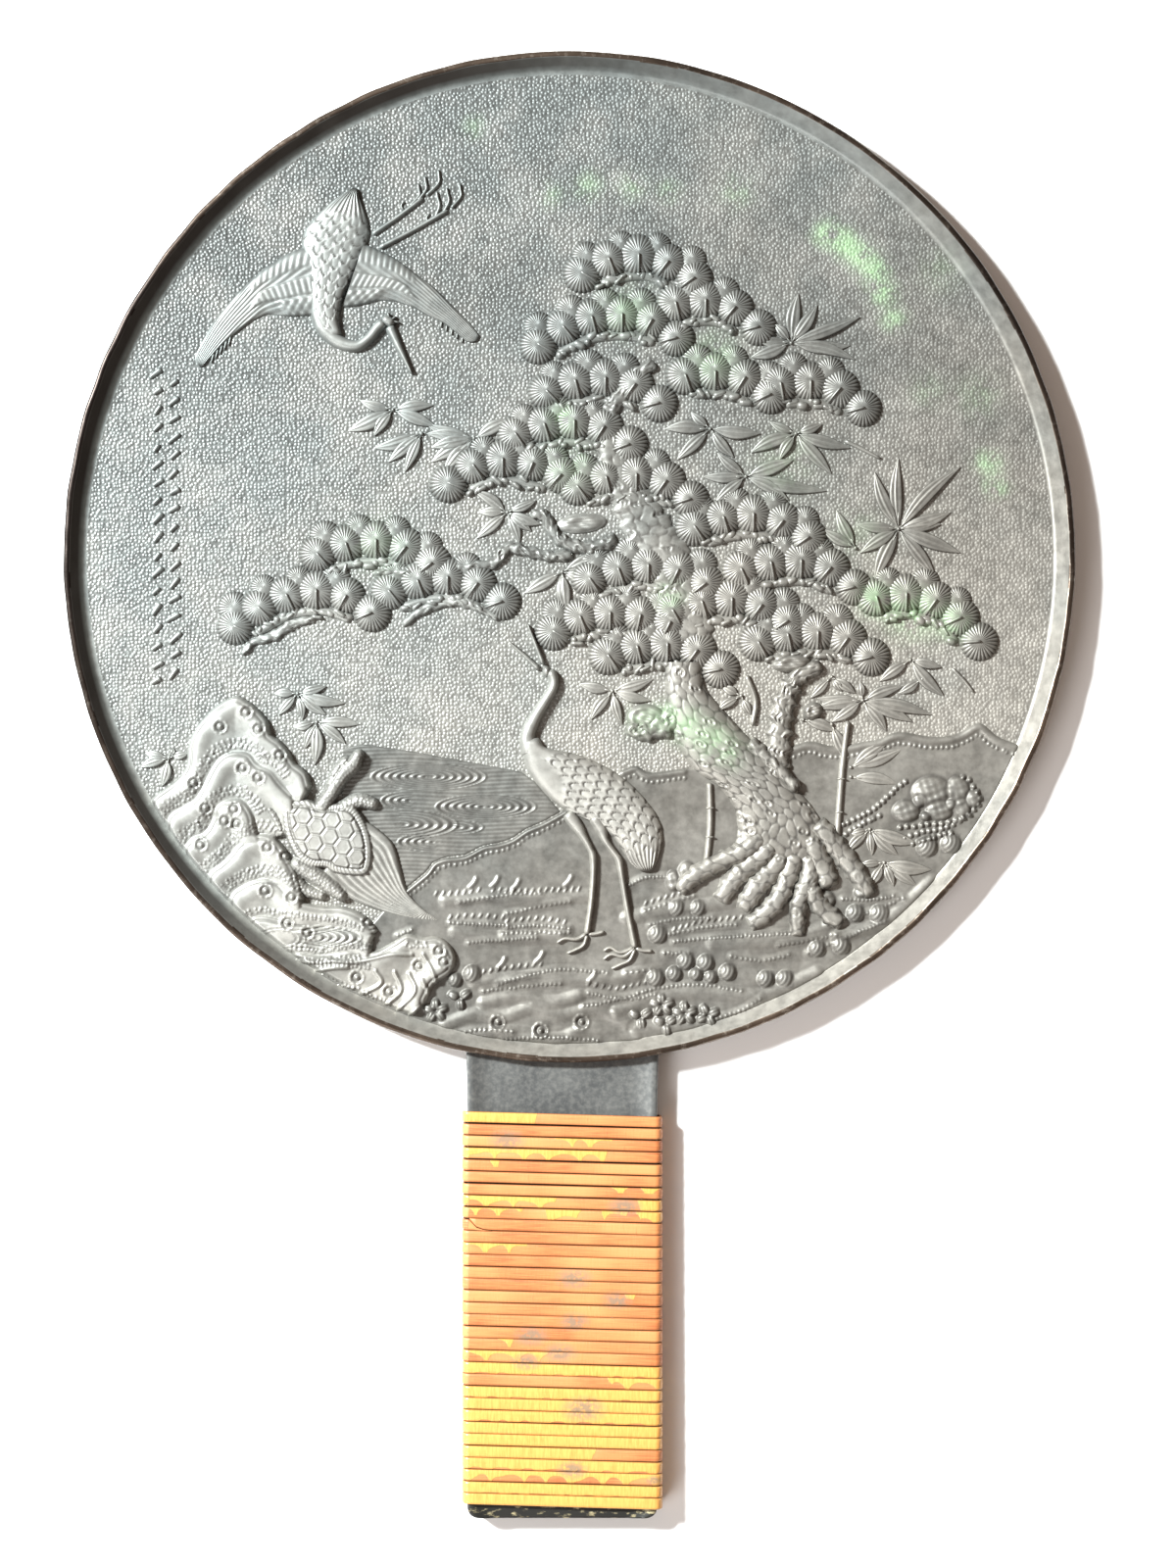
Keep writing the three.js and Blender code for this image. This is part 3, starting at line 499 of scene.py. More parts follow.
def rattanMaterial():
    material, tree, shader, vector = newMaterial("splitRattan")
    values = rattanFinish

    def noiseAt(a, b, detail, roughness):
        place = addNode(tree, "ShaderNodeCombineXYZ", {0: a, 1: b}).outputs[0]
        return noiseOf(tree, place, 1.0, detail, roughness)

    def times(a, b):
        return calculate(tree, "MULTIPLY", a, b)

    uv = addNode(tree, "ShaderNodeUVMap", uv_map="along").outputs[0]
    along, wound, _ = addNode(tree, "ShaderNodeSeparateXYZ", {0: uv}).outputs
    across = calculate(tree, "FRACT", wound)
    turn = calculate(tree, "FLOOR", wound)
    fibre = noiseAt(times(along, 0.16), times(wound, 11.0), 4.0, 0.65)
    tick = noiseAt(times(along, 2.6), times(wound, 0.8), 3.0, 0.6)
    # the skin covers the strand from its upper edge down to the share given, less arches along its lower edge
    sway = noiseAt(times(along, 0.13), times(turn, 5.1), 1.0, 0.5)
    strayed = calculate(tree, "ADD", along, times(sway, 9.0))
    wave = calculate(tree, "ABSOLUTE", calculate(tree, "SINE", times(strayed,
        math.pi / values["archLength"])))
    arch = calculate(tree, "POWER", rampBetween(tree, wave, 0.22, 0.95), 0.5)
    edge = calculate(tree, "ADD", across, times(arch, 0.62))
    skinLeft = rampBetween(tree, calculate(tree, "SUBTRACT", attribute(tree, "skin"), edge), -0.03, 0.03)
    tone = noiseAt(times(along, 0.05), times(turn, 3.3), 2.0, 0.5)
    wood = mixColour(tree, rampBetween(tree, fibre, 0.34, 0.62), values["deep"], values["wood"])
    wood = mixColour(tree, rampBetween(tree, tone, 0.38, 0.62, 0.0, 0.75), wood, values["pale"])
    wood = mixColour(tree, rampBetween(tree, tick, 0.66, 0.72, 0.0, 0.45), wood, values["groove"])
    skin = mixColour(tree, rampBetween(tree, tick, 0.40, 0.70), values["skin"], values["brownSkin"])
    base = mixColour(tree, skinLeft, wood, skin)
    worn = None
    flattened = addNode(tree, "ShaderNodeMapping", {"Vector": vector, "Scale": (0.6, 1.0, 0.0)}).outputs[0]
    for x, y, radius in greyPatches:
        centred = addNode(tree, "ShaderNodeVectorMath", {0: flattened, 1: (x * 0.6 * mm, y * mm, 0.0)},
                          operation="DISTANCE")
        spot = rampBetween(tree, centred.outputs["Value"], radius * mm * 0.25, radius * mm * 0.75, 1.0, 0.0)
        worn = spot if worn is None else calculate(tree, "MAXIMUM", worn, spot)
    broken = rampBetween(tree, noiseAt(times(along, 0.8), times(wound, 2.5), 4.0, 0.7), 0.36, 0.50)
    worn = calculate(tree, "MULTIPLY", worn, broken, clamp=True)
    base = mixColour(tree, times(worn, 0.85), base, values["grey"])
    base = mixColour(tree, attribute(tree, "dirtAndShade"), base, values["groove"])
    gloss = rampBetween(tree, skinLeft, 0.0, 1.0, 0.50, 0.30)
    roughness = calculate(tree, "ADD", gloss, times(worn, 0.3), clamp=True)
    relief = calculate(tree, "ADD", times(skinLeft, 0.5), times(calculate(tree, "ADD", fibre, tick), 0.5))
    finishShader(tree, shader, base, roughness, 0.0, relief, 0.7, 0.00012)
    return material


splitRattan = rattanMaterial()
print("materials made")


# the painted shade on the rim's top, dark on the side away from the light, as (degrees round the disc,
# share), and the heading in degrees of the painted shade on the wall inside the rim
discValues = {
    "radius": 105.85, "rimWidth": 1.45, "rimTop": 6.15, "wall": 2.0, "fillet": 1.1, "filletRise": 0.62,
    "turns": 400, "groundRings": 46, "paintedShadeAt": 160,
    "rimPaintedShade": [(0, 0.6), (30, 0.85), (60, 0.6), (90, 0.4), (130, 0.6), (148, 0.97), (182, 0.97),
     (205, 0.75), (240, 0.5), (275, 0.05), (345, 0.1), (360, 0.6)]}


# A profile (r, z) turned about the disc's centre: polished face, edge, rim, inner wall, ground
def discSurface(values):
    big, inner, top = values["radius"], values["radius"] - values["rimWidth"], values["rimTop"]
    foot = inner - values["wall"]
    profile = [(0.0, 0.0)] + [(r, 0.0) for r in np.linspace(10, big - 1.2, 12)]
    profile += [(big - 0.45, 0.03), (big - 0.12, 0.18), (big, 0.5), (big, 2.0), (big, 4.0),
                (big - 0.02, top - 0.75), (big - 0.10, top - 0.42), (big - 0.26, top - 0.16),
                (big - 0.5, top - 0.03), (big - 0.85, top), (inner + 0.35, top - 0.01),
                (inner + 0.12, top - 0.07), (inner - 0.04, top - 0.26)]
    foothill = values["filletRise"]
    profile += [(inner - 0.04 + (foot - inner) * s, top - 0.26 + (groundZ + foothill - top + 0.26) * s)
                for s in (0.33, 0.66, 1.0)]
    for s in (0.2, 0.45, 0.7, 1.0):
        profile.append((foot - values["fillet"] * s, groundZ + foothill * (1 - s) ** 2.2))
    profile += [(r, groundZ) for r in np.linspace(foot - 2.2, 1.5, values["groundRings"])] + [(0.0, groundZ)]
    profile = np.array(profile)
    r, z = profile[:, :1], profile[:, 1:]
    turn = np.linspace(0, 2 * math.pi, values["turns"], endpoint=False)[None]
    raised = softStep(groundZ + 0.5, top - 0.2, z)
    r = r + 0.10 * raised * (uneven(r * np.cos(turn), r * np.sin(turn), 14, 3) - 0.9) * (z > 0.3)
    x, y = r * np.cos(turn), r * np.sin(turn)
    z = z + raised * (0.05 * uneven(x, y, 9, 5) + 0.03 * uneven(x, y, 3.1, 6) - 0.07)
    nearWall = np.exp(-((r - foot + values["fillet"] + 0.2) / 0.4) ** 2) * (z > groundZ - 0.1)
    onWall = softStep(foot - 0.2, foot + 0.4, r) * softStep(inner + 0.1, inner - 0.1, r) * (z > groundZ)
    # painted shade: the wall inside the rim is darkened on the side that faces away from the light
    dark = softStep(-0.15, 0.65, np.cos(turn - math.radians(values["paintedShadeAt"])))
    onRim = softStep(inner - 0.1, inner + 0.1, r) * (z > 1.0)
    # painted shade on the rim's top and edge, by the angle round the disc
    shade = np.interp(np.degrees(turn), *zip(*values["rimPaintedShade"]))
    # darker along the foot of the wall, plus the painted shade of the wall and of the rim
    dirtAndShade = np.clip(0.3 * nearWall + (0.1 + 0.9 * dark) * onWall + shade * onRim, 0, 1)
    return surface(x, y, z, wrap=True, dirtAndShade=dirtAndShade, faceUp=False)


handleValues = {
    "middle": -1.5, "topWidth": 40.4, "gripWidth": 39.8, "thickness": 3.4, "lip": 0.35, "lipWidth": 1.9,
    "start": -102.5, "narrow": -115.8, "end": -201.45, "corner": 2.2}


# A closed section carried down the handle: flat back, round edges, a low lip each side, drawn in at the
# corners of its end
def handleSurface(values):
    thick, lip = values["thickness"], values["lip"]
    half = values["gripWidth"] / 2
    corner = np.linspace(0, math.pi / 2, 5)
    right = [(half - 0.35 + 0.35 * math.sin(a), 0.35 - 0.35 * math.cos(a)) for a in corner]
    right += [(half - 0.5 + 0.5 * math.cos(a), thick + lip - 0.5 + 0.5 * math.sin(a)) for a in corner]
    right += [(half - values["lipWidth"] + 0.4, thick + lip), (half - values["lipWidth"] - 0.2, thick + 0.04)]
    right += [(x, thick) for x in (14, 9, 4.5, 0)]
    section = np.array(right + [(-x, z) for x, z in right[::-1][1:]] + [(-x, 0) for x in (-10, 0, 10)])
    rows = np.concatenate([np.linspace(values["start"], values["narrow"], 8), np.linspace(-122, -196, 20),
                           values["end"] + values["corner"] * (1
        - np.sin(np.linspace(0, math.pi / 2, 8)))])[:, None]
    depth = np.clip((values["end"] + values["corner"] - rows) / values["corner"], 0, 1)
    draw = values["corner"] * (1 - np.sqrt(np.clip(1 - depth ** 2, 0, 1)))
    width = np.interp(-rows, [-values["start"], -values["narrow"]],
                      [values["topWidth"], values["gripWidth"]]) / values["gripWidth"]
    width = width * (1 - draw / half)
    thin = 1 - 0.06 * softStep(values["end"] + 0.6, values["end"], rows)
    x = values["middle"] + section[None, :, 0] * width
    z = thick / 2 + (section[None, :, 1] - thick / 2) * thin
    y = rows + 0 * x
    # the two ends are closed by rows drawn together onto the section's middle
    def closeEnd(row, at):
        shrink = np.array([0.6, 0.0])[:, None]
        mx, mz = values["middle"], thick / 2
        return mx + (x[row] - mx) * shrink, at + 0 * x[:2], mz + (z[row] - mz) * shrink
    headX, headY, headZ = closeEnd(0, values["start"])
    endX, endY, endZ = closeEnd(-1, values["end"])
    x = np.vstack([headX[::-1], x, endX])
    y = np.vstack([headY, y, endY])
    z = np.vstack([headZ[::-1], z, endZ])
    nearEnd = softStep(-196.0, -197.4, y)
    return surface(x, y, z, wrap=True, dirtAndShade=nearEnd, faceUp=False)


# A raised cord along a path of (x, y, width): across it the height falls as (1 - |v|^2.2)^roundness,
# and at both ends it is drawn in as a quarter circle of length tip
def cord(path, height, rows=24, cols=7, roundness=0.5, tip=None, base=groundZ, lift=None):
    line = smoothLine(path, rows)
    n = normalsOf(line)
    run = runOf(line)[:, None]
    half = line[:, 2:3] / 2
    tipLength = half if tip is None else tip
    fromEnd = np.minimum(run, run[-1] - run)
    drawn = quarterCircle(fromEnd / np.maximum(tipLength, 1e-3))
    v = np.linspace(-1, 1, cols)[None]
    x = line[:, :1] + n[:, :1] * half * v * np.maximum(drawn, 0.02)
    y = line[:, 1:2] + n[:, 1:2] * half * v * np.maximum(drawn, 0.02)
    rise = np.clip(1 - np.abs(v) ** 2.2, 0, 1) ** roundness
    top = height if lift is None else height * lift(run / run[-1], v)
    z = base - sunk + (top + sunk) * rise * drawn
    return surface(x, y, z)


# A raised band between two edge lines, with t from 0 to 1 along it and v from -1 to 1 across it
def bandGrid(left, right, rows, cols):
    l, r = smoothLine(left, rows), smoothLine(right, rows)
    v = np.linspace(-1, 1, cols)[None]
    t = np.linspace(0, 1, rows)[:, None]
    x = l[:, :1] + (r[:, :1] - l[:, :1]) * (v + 1) / 2
    y = l[:, 1:2] + (r[:, 1:2] - l[:, 1:2]) * (v + 1) / 2
    return x, y, t, v, np.hypot(r[:, :1] - l[:, :1], r[:, 1:2] - l[:, 1:2])


leafValues = {"height": 0.55, "rim": 0.24, "vein": 0.24, "rows": 13}


# A bamboo leaf from knot to tip: half width sin(pi t^0.84)^0.9, a raised rim each side and a vein between
def leaf(x0, y0, x1, y1, width, lift, bend):
    values = leafValues
    t = (0.5 - 0.5 * np.cos(np.linspace(0, math.pi, values["rows"])))[:, None]
    v = np.array([-1.06, -1, -0.8, -0.45, -0.14, 0, 0.14, 0.45, 0.8, 1, 1.06])[None]
    length = math.hypot(x1 - x0, y1 - y0)
    ax, ay = (x1 - x0) / length, (y1 - y0) / length
    half = width / 2 * np.clip(np.sin(math.pi * t ** 0.84), 0, 1) ** 0.9
    side = half * v + bend * length * np.sin(math.pi * t)
    x = x0 + ax * length * t - ay * side
    y = y0 + ay * length * t + ax * side
    broad = np.clip(half / (width / 2), 0, 1)
    rim = values["rim"] * np.exp(-((np.abs(v) - 0.8) / 0.18) ** 2)
    vein = values["vein"] * np.exp(-(v / 0.14) ** 2)
    z = groundZ + lift + values["height"] * (0.35 + 0.65 * broad) + (rim + vein) * broad
    z = np.where(np.abs(v) > 1.01, groundZ - sunk, np.where(np.abs(v) > 0.99, z - 0.16, z))
    dirtAndShade = 0.7 * np.exp(-((np.abs(v) - 0.36) / 0.18) ** 2) * broad + 0.5 * (np.abs(v) > 0.99)
    return surface(x, y, z, dirtAndShade=dirtAndShade)


pineValues = {
    "radius": 4.1, "step": 6.4, "rise": 1.75, "needles": 26, "groove": 0.24, "bendShare": 0.7,
    "backShare": 0.8, "backRise": 0.62, "backOut": 3.1, "steepest": 66, "twigBelow": 4.5}
# each clump: the place of its top fan, and the leans in degrees of the fans to its left and to its right
pineClumps = [
    ((14.5, 63.5), (-22, -60), (38, 55)), ((28.5, 54), (-15,), (40, 75)),
    ((11, 51), (-15, -40, -62), (30, 75)), ((7.5, 37.7), (-15, -45), (35, 75)),
    ((30.5, 39), (-20,), (32, 65)), ((50.5, 37), (-12,), (40, 75)), ((1, 28.7), (-18, -35), (32, 70)),
    ((-14, 20.7), (-35, -70), (22, 42)), ((14, 17.5), (-15, -38), (35, 72)),
    ((38.5, 9.2), (-18, -35), (38, 55)), ((48.5, -0.5), (-12, -25), (40, 75)),
    ((16.5, -1.5), (-20, -35), (25, 52)), ((8.5, -11.5), (-22, -62), (12, 25)),
    ((34, -8.5), (-18, -30), (35, 55)), ((52, -15.5), (-14, -30), (35, 75)),
    ((70.5, -7.5), (-18,), (35, 65, 85)), ((20.5, -18), (-15, -35), (35, 78)),
    ((-40.5, 3.7), (-18, -40), (38, 52)), ((-53, -6.8), (-25, -45, -65), (30, 68)),
    ((-25.5, -4), (-20, -38), (35, 70))]


# The fans of a clump, as (x, y, lean): each is a step from the last, turned by a share of their mean lean
def clumpFans(top, left, right):
    chains = []
    for leans in (left, right):
        x, y = top
        before, chain = 0, []
        for lean in leans:
            side = math.copysign(1, lean)
            way = math.radians(pineValues["bendShare"] * (before + lean) / 2)
            x += side * pineValues["step"] * math.cos(way)
            y -= side * pineValues["step"] * math.sin(way)
            before = lean
            chain.append((x, y, lean))
        chains.append(chain)
    return chains[0][::-1] + [(top[0], top[1], 0)] + chains[1]


# A fan: a dome of height (1 - r^2.1)^0.6 cut by narrow radial grooves, four places to a needle: the groove,
# its two banks and the needle's crest. The grooves deepen outwards and begin later towards the foot, where
# the stem lies.
def fan(x0, y0, radius, rise, phase, foot):
    values = pineValues
    count = values["needles"]
    places = np.arange(count)[:, None] + np.array([0.0, 0.22, 0.5, 0.78])
    turn = (places * 2 * math.pi / count).reshape(1, -1) + phase
    cut = np.tile([1.0, 0.12, 0.0, 0.12], count)[None]
    r = np.array([0, 0.2, 0.38, 0.54, 0.68, 0.80, 0.91, 1.0, 1.015])[:, None]
    reach = radius * r * (1 + (0.03 - 0.08 * cut) * r ** 3)
    dome = np.clip(1 - np.minimum(r, 1) ** 2.1, 0, 1) ** 0.6
    footward = (0.5 + 0.5 * np.cos(turn - foot)) ** 2
    combed = softStep(0.12 + 0.36 * footward, 0.46 + 0.34 * footward, r)
    z = groundZ + 0.15 + (rise - 0.15) * dome - values["groove"] * combed * cut * softStep(1.3, 0.8, r)
    z = np.where(r > 1.01, groundZ - sunk, z)
    return surface(x0 + reach * np.cos(turn), y0 + reach * np.sin(turn), z, wrap=True, dirtAndShade=combed * cut)


# The pine's fans: a front one at each place of every clump, a smaller one behind each gap, a stem up the
# middle of each front fan, and a knotty twig under the clump
def pineSurfaces():
    values = pineValues
    rng = np.random.default_rng(11)
    fronts, backs, stems, twigs = [], [], [], []
    for number, (top, left, right) in enumerate(pineClumps):
        chain = clumpFans(top, left, right)
        for (xa, ya, la), (xb, yb, lb) in zip(chain, chain[1:]):
            if max(abs(la), abs(lb)) < values["steepest"]:
                lean = math.radians((la + lb) / 2)
                out = values["backOut"] * rng.uniform(0.85, 1.1)
                backs.append(fan((xa + xb) / 2 + out * math.sin(lean), (ya + yb) / 2 + out * math.cos(lean),
                                 values["radius"] * values["backShare"] * rng.uniform(0.85, 1.05),
                                 values["rise"] * values["backRise"], rng.uniform(0, 1), -math.pi / 2 - lean))
        for x, y, lean in chain:
            radius = values["radius"] * rng.uniform(0.95, 1.03) * (1.04 if lean == 0 else 0.98)
            rise = values["rise"] * rng.uniform(0.94, 1.04)
            a = math.radians(lean)
            fronts.append(fan(x, y, radius, rise, rng.uniform(0, 1), -math.pi / 2 - a))
            ux, uy = math.sin(a), math.cos(a)
            foot, head = -radius * 1.08, radius * 0.16
            path = [(x + ux * s, y + uy * s, 0.95) for s in (foot, foot * 0.5, head)]
            along = lambda t, v, foot=foot, head=head, radius=radius: 0.28 + 0.75 * np.clip(
                1 - np.clip(np.abs(foot + (head - foot) * t) / radius, 0, 1) ** 2.1, 0, 1) ** 0.6 + 0 * v
            stems.append(cord(path, rise + 0.62, rows=9, cols=5, tip=0.4, lift=along))
        # the twig under the fans: a low cord heaped with short lumps of wood that lie across each other
        below = values["twigBelow"]
        knots = [(x - math.sin(math.radians(lean)) * below, y - math.cos(math.radians(lean)) * below, 2.2)
                 for x, y, lean in chain]
        if len(knots) > 2:
            twigs.append(cord(knots, 0.75, rows=40, cols=7))
        for (xa, ya, _), (xb, yb, _) in zip(knots, knots[1:]):
            for share in (0.1, 0.4, 0.7):
                px = xa + (xb - xa) * share + rng.normal(0, 0.35)
                py = ya + (yb - ya) * share + rng.normal(0, 0.4)
                turn = math.atan2(yb - ya, xb - xa) + rng.normal(0, 0.45)
                half, wide = rng.uniform(0.9, 1.8), rng.uniform(1.3, 2.5)
                ends = [(px - math.cos(turn) * half, py - math.sin(turn) * half, wide),
                        (px + math.cos(turn) * half, py + math.sin(turn) * half,
                         wide * rng.uniform(0.6, 1.0))]
                twigs.append(cord(ends, rng.uniform(0.85, 1.4), rows=7, cols=7, roundness=0.6))
    return fronts, backs, stems, twigs


# each spray: the knot that its leaves start from, and their tips
bambooSprays = [
    ((46.5, 45), [(48, 55.5), (52, 53), (61, 50.5), (59, 44.5), (60, 41.5), (43, 49), (39, 46), (38, 42)]),
    ((29.5, 27), [(22.5, 20.5), (34.5, 21), (40, 26), (20, 27), (25.5, 30.5)]),
    ((47.5, 26), [(42, 28.5), (38, 22), (44, 20.5), (55, 17.5), (59, 23), (53, 28)]),
    ((37, 17), [(28, 17), (31, 22), (30.5, 11.5), (47, 20.5), (54, 14), (46, 12)]),
    ((69, 6), [(69, 21), (64, 18), (82, 19), (80, 9.5), (78, 7), (82, 1), (77, -4.5), (60, 7), (61, 1),
     (64, -5)]),
    ((60, 2), [(56, 10), (53, 6)]),
    ((-37, 31), [(-44, 33), (-46.5, 26.5), (-41, 25.5), (-28.5, 32), (-28, 27.5)]),
    ((-31, 26), [(-41, 23), (-38, 20), (-34.5, 18)]),
    ((-20, 25), [(-30, 28), (-30, 26), (-29, 23), (-29, 20), (-26.5, 17.5), (-12, 29)]),
    ((-13, 9.5), [(-19.5, 4), (-8, 5.5), (-6, 7), (-19, 9.5), (-20, 14), (-7, 12), (-10.5, 3)]),
    ((-1.5, -3), [(-9.5, -7.5), (-2, -10.5), (-0.5, -11.5), (8, 1.5), (4, -5)]),
    ((9, -28), [(2, -26.5), (4.5, -34), (11, -35), (17.5, -25.5), (17, -30)]),
    ((61.5, -30), [(52, -29.5), (52, -31.5), (55, -34.5), (66.5, -36.5), (72, -34.5), (76, -33), (70, -27),
     (61, -26)]),
    ((71.5, -21.5), [(65, -26), (78.5, -29), (78, -23)]), ((74, -25.5), [(69, -28.5)]),
    ((55, -25), [(50.5, -29.5), (60, -28.5), (57, -28)]), ((55, -35), [(58.5, -43)]),
    ((59, -44), [(70, -40), (67, -38.5)]), ((59, -46), [(69, -47.5)]), ((49, -34), [(56, -36.5)]),
    ((63, -57), [(59, -58), (58, -62), (63.5, -62.5), (69, -62.5), (73, -60)]),
    ((66, -64), [(61, -64.5), (63, -69), (68, -69), (73, -69), (76, -65.5)]),
    ((-57, -28.5), [(-62, -28.5), (-61, -33), (-56, -34), (-51, -33), (-47, -30.5), (-51, -27)]),
    ((-53, -34.5), [(-58, -35.5), (-55.5, -40), (-53.5, -43.5), (-44, -35), (-47, -39)]),
    ((-84, -42), [(-89, -41), (-90, -44), (-85.5, -48), (-80, -41), (-83, -40)]),
    ((36, -29), [(32, -27), (38, -33), (31, -32)])]


# The sprays: a leaf and its stalk from each knot to each tip, and a small bar across the knot
def bambooSurfaces():
    rng = np.random.default_rng(5)
    made = []
    for (x, y), tips in bambooSprays:
        for k, (tipX, tipY) in enumerate(tips):
            length = math.hypot(tipX - x, tipY - y)
            away = 0.9 / length                       # leaves start a little way from the knot
            made.append(leaf(x + (tipX - x) * away, y + (tipY - y) * away, tipX, tipY,
                             width=min(2.9, 1.1 + 0.17 * length) * rng.uniform(0.9, 1.1), lift=0.08 * (k % 3),
                             bend=rng.uniform(-0.06, 0.06)))
            made.append(cord([(x, y, 0.5), (x + (tipX - x) * 0.3, y + (tipY - y) * 0.3, 0.4)], 0.55, rows=5,
                             cols=5))
        made.append(cord([(x - 0.5, y, 1.0), (x + 0.5, y, 1.0)], 0.85, rows=7, cols=7))
    return made


trunkValues = {"plateLength": 3.5, "plateWidth": 2.4, "plateDepth": 0.16, "eyeShare": 1.4}


# Bark: oval scales in staggered rows that crowd each other, each of height (1 - d^4)^0.5 of its own oval
# distance d, with the rows bent out of line; here and there a ring with a pip in it
def bark(along, across, seed, length, width):
    a0 = along + 0.20 * length * uneven(along, across, 2.6 * length, seed)
    b0 = across + 0.22 * width * uneven(along, across, 2.4 * length, seed + 1)
    pitch = 0.84 * width
    near = 9.0
    for step in (-1, 0, 1):
        row = np.round(b0 / pitch) + step
        a = a0 / length + 0.5 * np.mod(row, 2)
        near = np.minimum(near, np.hypot(2.05 * (a - np.round(a)), 2 * (b0 - row * pitch) / width))
    swell = np.sqrt(np.clip(1 - np.clip(near, 0, 1) ** 4, 0, 1))
    ring, _ = seedDistance(across / (2.2 * width), along / (1.3 * length), seed + 5, 0.9)
    d = ring * 2.0 * width
    eye = np.exp(-((d - 0.95) / 0.24) ** 2) + 0.9 * np.exp(-(d / 0.30) ** 2)
    eye = eye - 0.8 * np.exp(-((d - 0.48) / 0.22) ** 2)
    return swell, eye, softStep(0.84, 1.0, near)


# A band between two edge lines: height(t) times (1 - |v|^2.8)^0.55, plus the scales and rings of the bark
def woodBand(left, right, rows, cols, height, seed, length=None, width=None, depth=None, tipStart=0.0,
             tipEnd=0.0):
    values = trunkValues
    x, y, t, v, wide = bandGrid(left, right, rows, cols)
    middle = np.stack([x[:, cols // 2], y[:, cols // 2]], 1)
    run = runOf(middle)[:, None]
    swell, eye, gap = bark(run + 0 * v, v * wide / 2 + 50, seed, length or values["plateLength"],
                           width or values["plateWidth"])
    deep = depth if depth is not None else values["plateDepth"]
    shape = np.clip(1 - np.abs(v) ** 2.8, 0, 1) ** 0.55
    inside = softStep(0, 0.25, shape)
    rise = height(t) if callable(height) else height
    z = groundZ - sunk + (rise + sunk) * shape + inside * (deep * (swell - 0.85)
        + values["eyeShare"] * deep * eye)
    drawn = np.ones_like(t)
    if tipStart:
        drawn = drawn * quarterCircle(run / tipStart)
    if tipEnd:
        drawn = drawn * quarterCircle((run[-1] - run) / tipEnd)
    z = groundZ - sunk + (z - groundZ + sunk) * drawn
    return surface(x, y, z, dirtAndShade=np.clip(inside * 0.75 * gap, 0, 0.8))


# A branch as a band with bark: two edges at half a width either side of a path of (x, y, width)
def barkBranch(path, height, rows, cols, seed, length=2.8, width=1.7, depth=0.26, swing=1.0):
    line = smoothLine(path, rows)
    wobble = 1 + swing * (0.12 * np.sin(runOf(line) * 1.9 + seed)
                          + 0.08 * np.sin(runOf(line) * 3.7 + 2 * seed))
    n = normalsOf(line) * (line[:, 2] * wobble / 2)[:, None]
    return woodBand(line[:, :2] + n, line[:, :2] - n, rows, cols, height, seed, length, width, depth,
                    tipStart=1.2, tipEnd=1.2)


# The bole, the boughs that rise from it, and the roots, which swell and fall along their length as sines
def trunkSurfaces():
    bole = woodBand([(20, -22), (20, -27), (20.3, -32), (22, -38), (26, -44.5), (31, -48), (34, -52),
                     (35, -57), (33.5, -61.5), (29, -66)], [(28, -22), (28.5, -27), (32, -31.5), (37, -37),
        (43, -43), (48.5, -49), (52.5, -54), (54.5, -59), (57, -63), (61, -67)], 170, 90,
        lambda t: 2.0 + 0.5 * np.sin(math.pi * np.clip(t * 1.1, 0, 1)) - 1.7 * softStep(0.84, 1.0, t), 2,
        tipEnd=1.5)
    made = [bole]
    made.append(barkBranch([(26, -20, 9), (25, -12, 10), (22, -3, 11), (17, 5, 11), (13, 12, 9), (9, 20, 6),
                            (8, 30, 4.5)], 1.2, 140, 45, 5, length=3.8, width=2.8, depth=0.15, swing=0.6))
    made.append(barkBranch([(8, 30, 4), (13, 37, 3.6), (18, 41, 2.5)], 1.2, 30, 13, 6))
    made.append(barkBranch([(43, -47, 6.4), (43.8, -40, 5.6), (44.3, -34, 5.4), (45.5, -29, 5), (48, -25, 4),
                            (53, -22.5, 3)], 1.9, 70, 25, 7))
    made.append(barkBranch([(37.5, -38.5, 3.4), (43.5, -44, 3.2), (48, -49, 3)], 2.5, 30, 13, 8))
    made.append(barkBranch([(10, 4, 3.2), (5, 2.2, 3.1), (1, 2.5, 3), (-3, 4.6, 2.8), (-5, 8.6, 2.7),
                            (-8.3, 9.2, 2.4)], 1.35, 60, 13, 9))
    made.append(barkBranch([(1, 0.6, 2.6), (-4, 0.3, 2.6), (-9, 1.3, 2.6), (-13, 2, 2.6), (-16, -1.2, 2.5),
                            (-24, -2.2, 2.3), (-32, -3, 2.1), (-41, -3.2, 1.6)], 1.2, 110, 13, 10))
    roots = [[(41, -58, 4.0), (36.8, -61.4, 4.6), (30.4, -64.4, 4.4), (25.6, -67.2, 4.4), (22.8, -70.2, 3.2)],
             [(43, -60, 4.0), (40, -62.8, 4.8), (34.6, -67.4, 4.8), (31.4, -72.4, 3.8)],
             [(45, -62, 4.0), (42.6, -65.6, 4.8), (38.8, -69.6, 5.0), (36.2, -74.2, 4.0)],
             [(47.5, -62, 4.0), (46.2, -66, 4.8), (43.8, -71.4, 4.6), (40.4, -75.2, 4.4), (37.4, -77, 3.4)],
             [(50.6, -62, 4.0), (50.2, -67, 4.6), (48, -73, 4.2), (47.9, -79.6, 3.4)],
             [(50, -66, 4.0), (51.3, -71.2, 4.4), (54.4, -74.8, 4.4), (57.4, -77, 3.4)],
             [(50, -58, 4.6), (52.6, -63.6, 5.2), (54.6, -69.4, 4.4)],
             [(51.6, -55.6, 4.6), (55.6, -60.2, 5.0), (60, -66, 4.6), (63.4, -71, 3.4)]]
    for k, path in enumerate(roots):
        swell = lambda t, k=k: 1.7 + 0.7 * np.sin(math.pi * np.clip(t * 0.8 + 0.15, 0,
            1)) + 0.25 * np.sin(9 * t + k)
        made.append(barkBranch(path, swell, 56, 19, 20 + k, length=3.6, width=2.5, depth=0.09, swing=0.6))
    return made


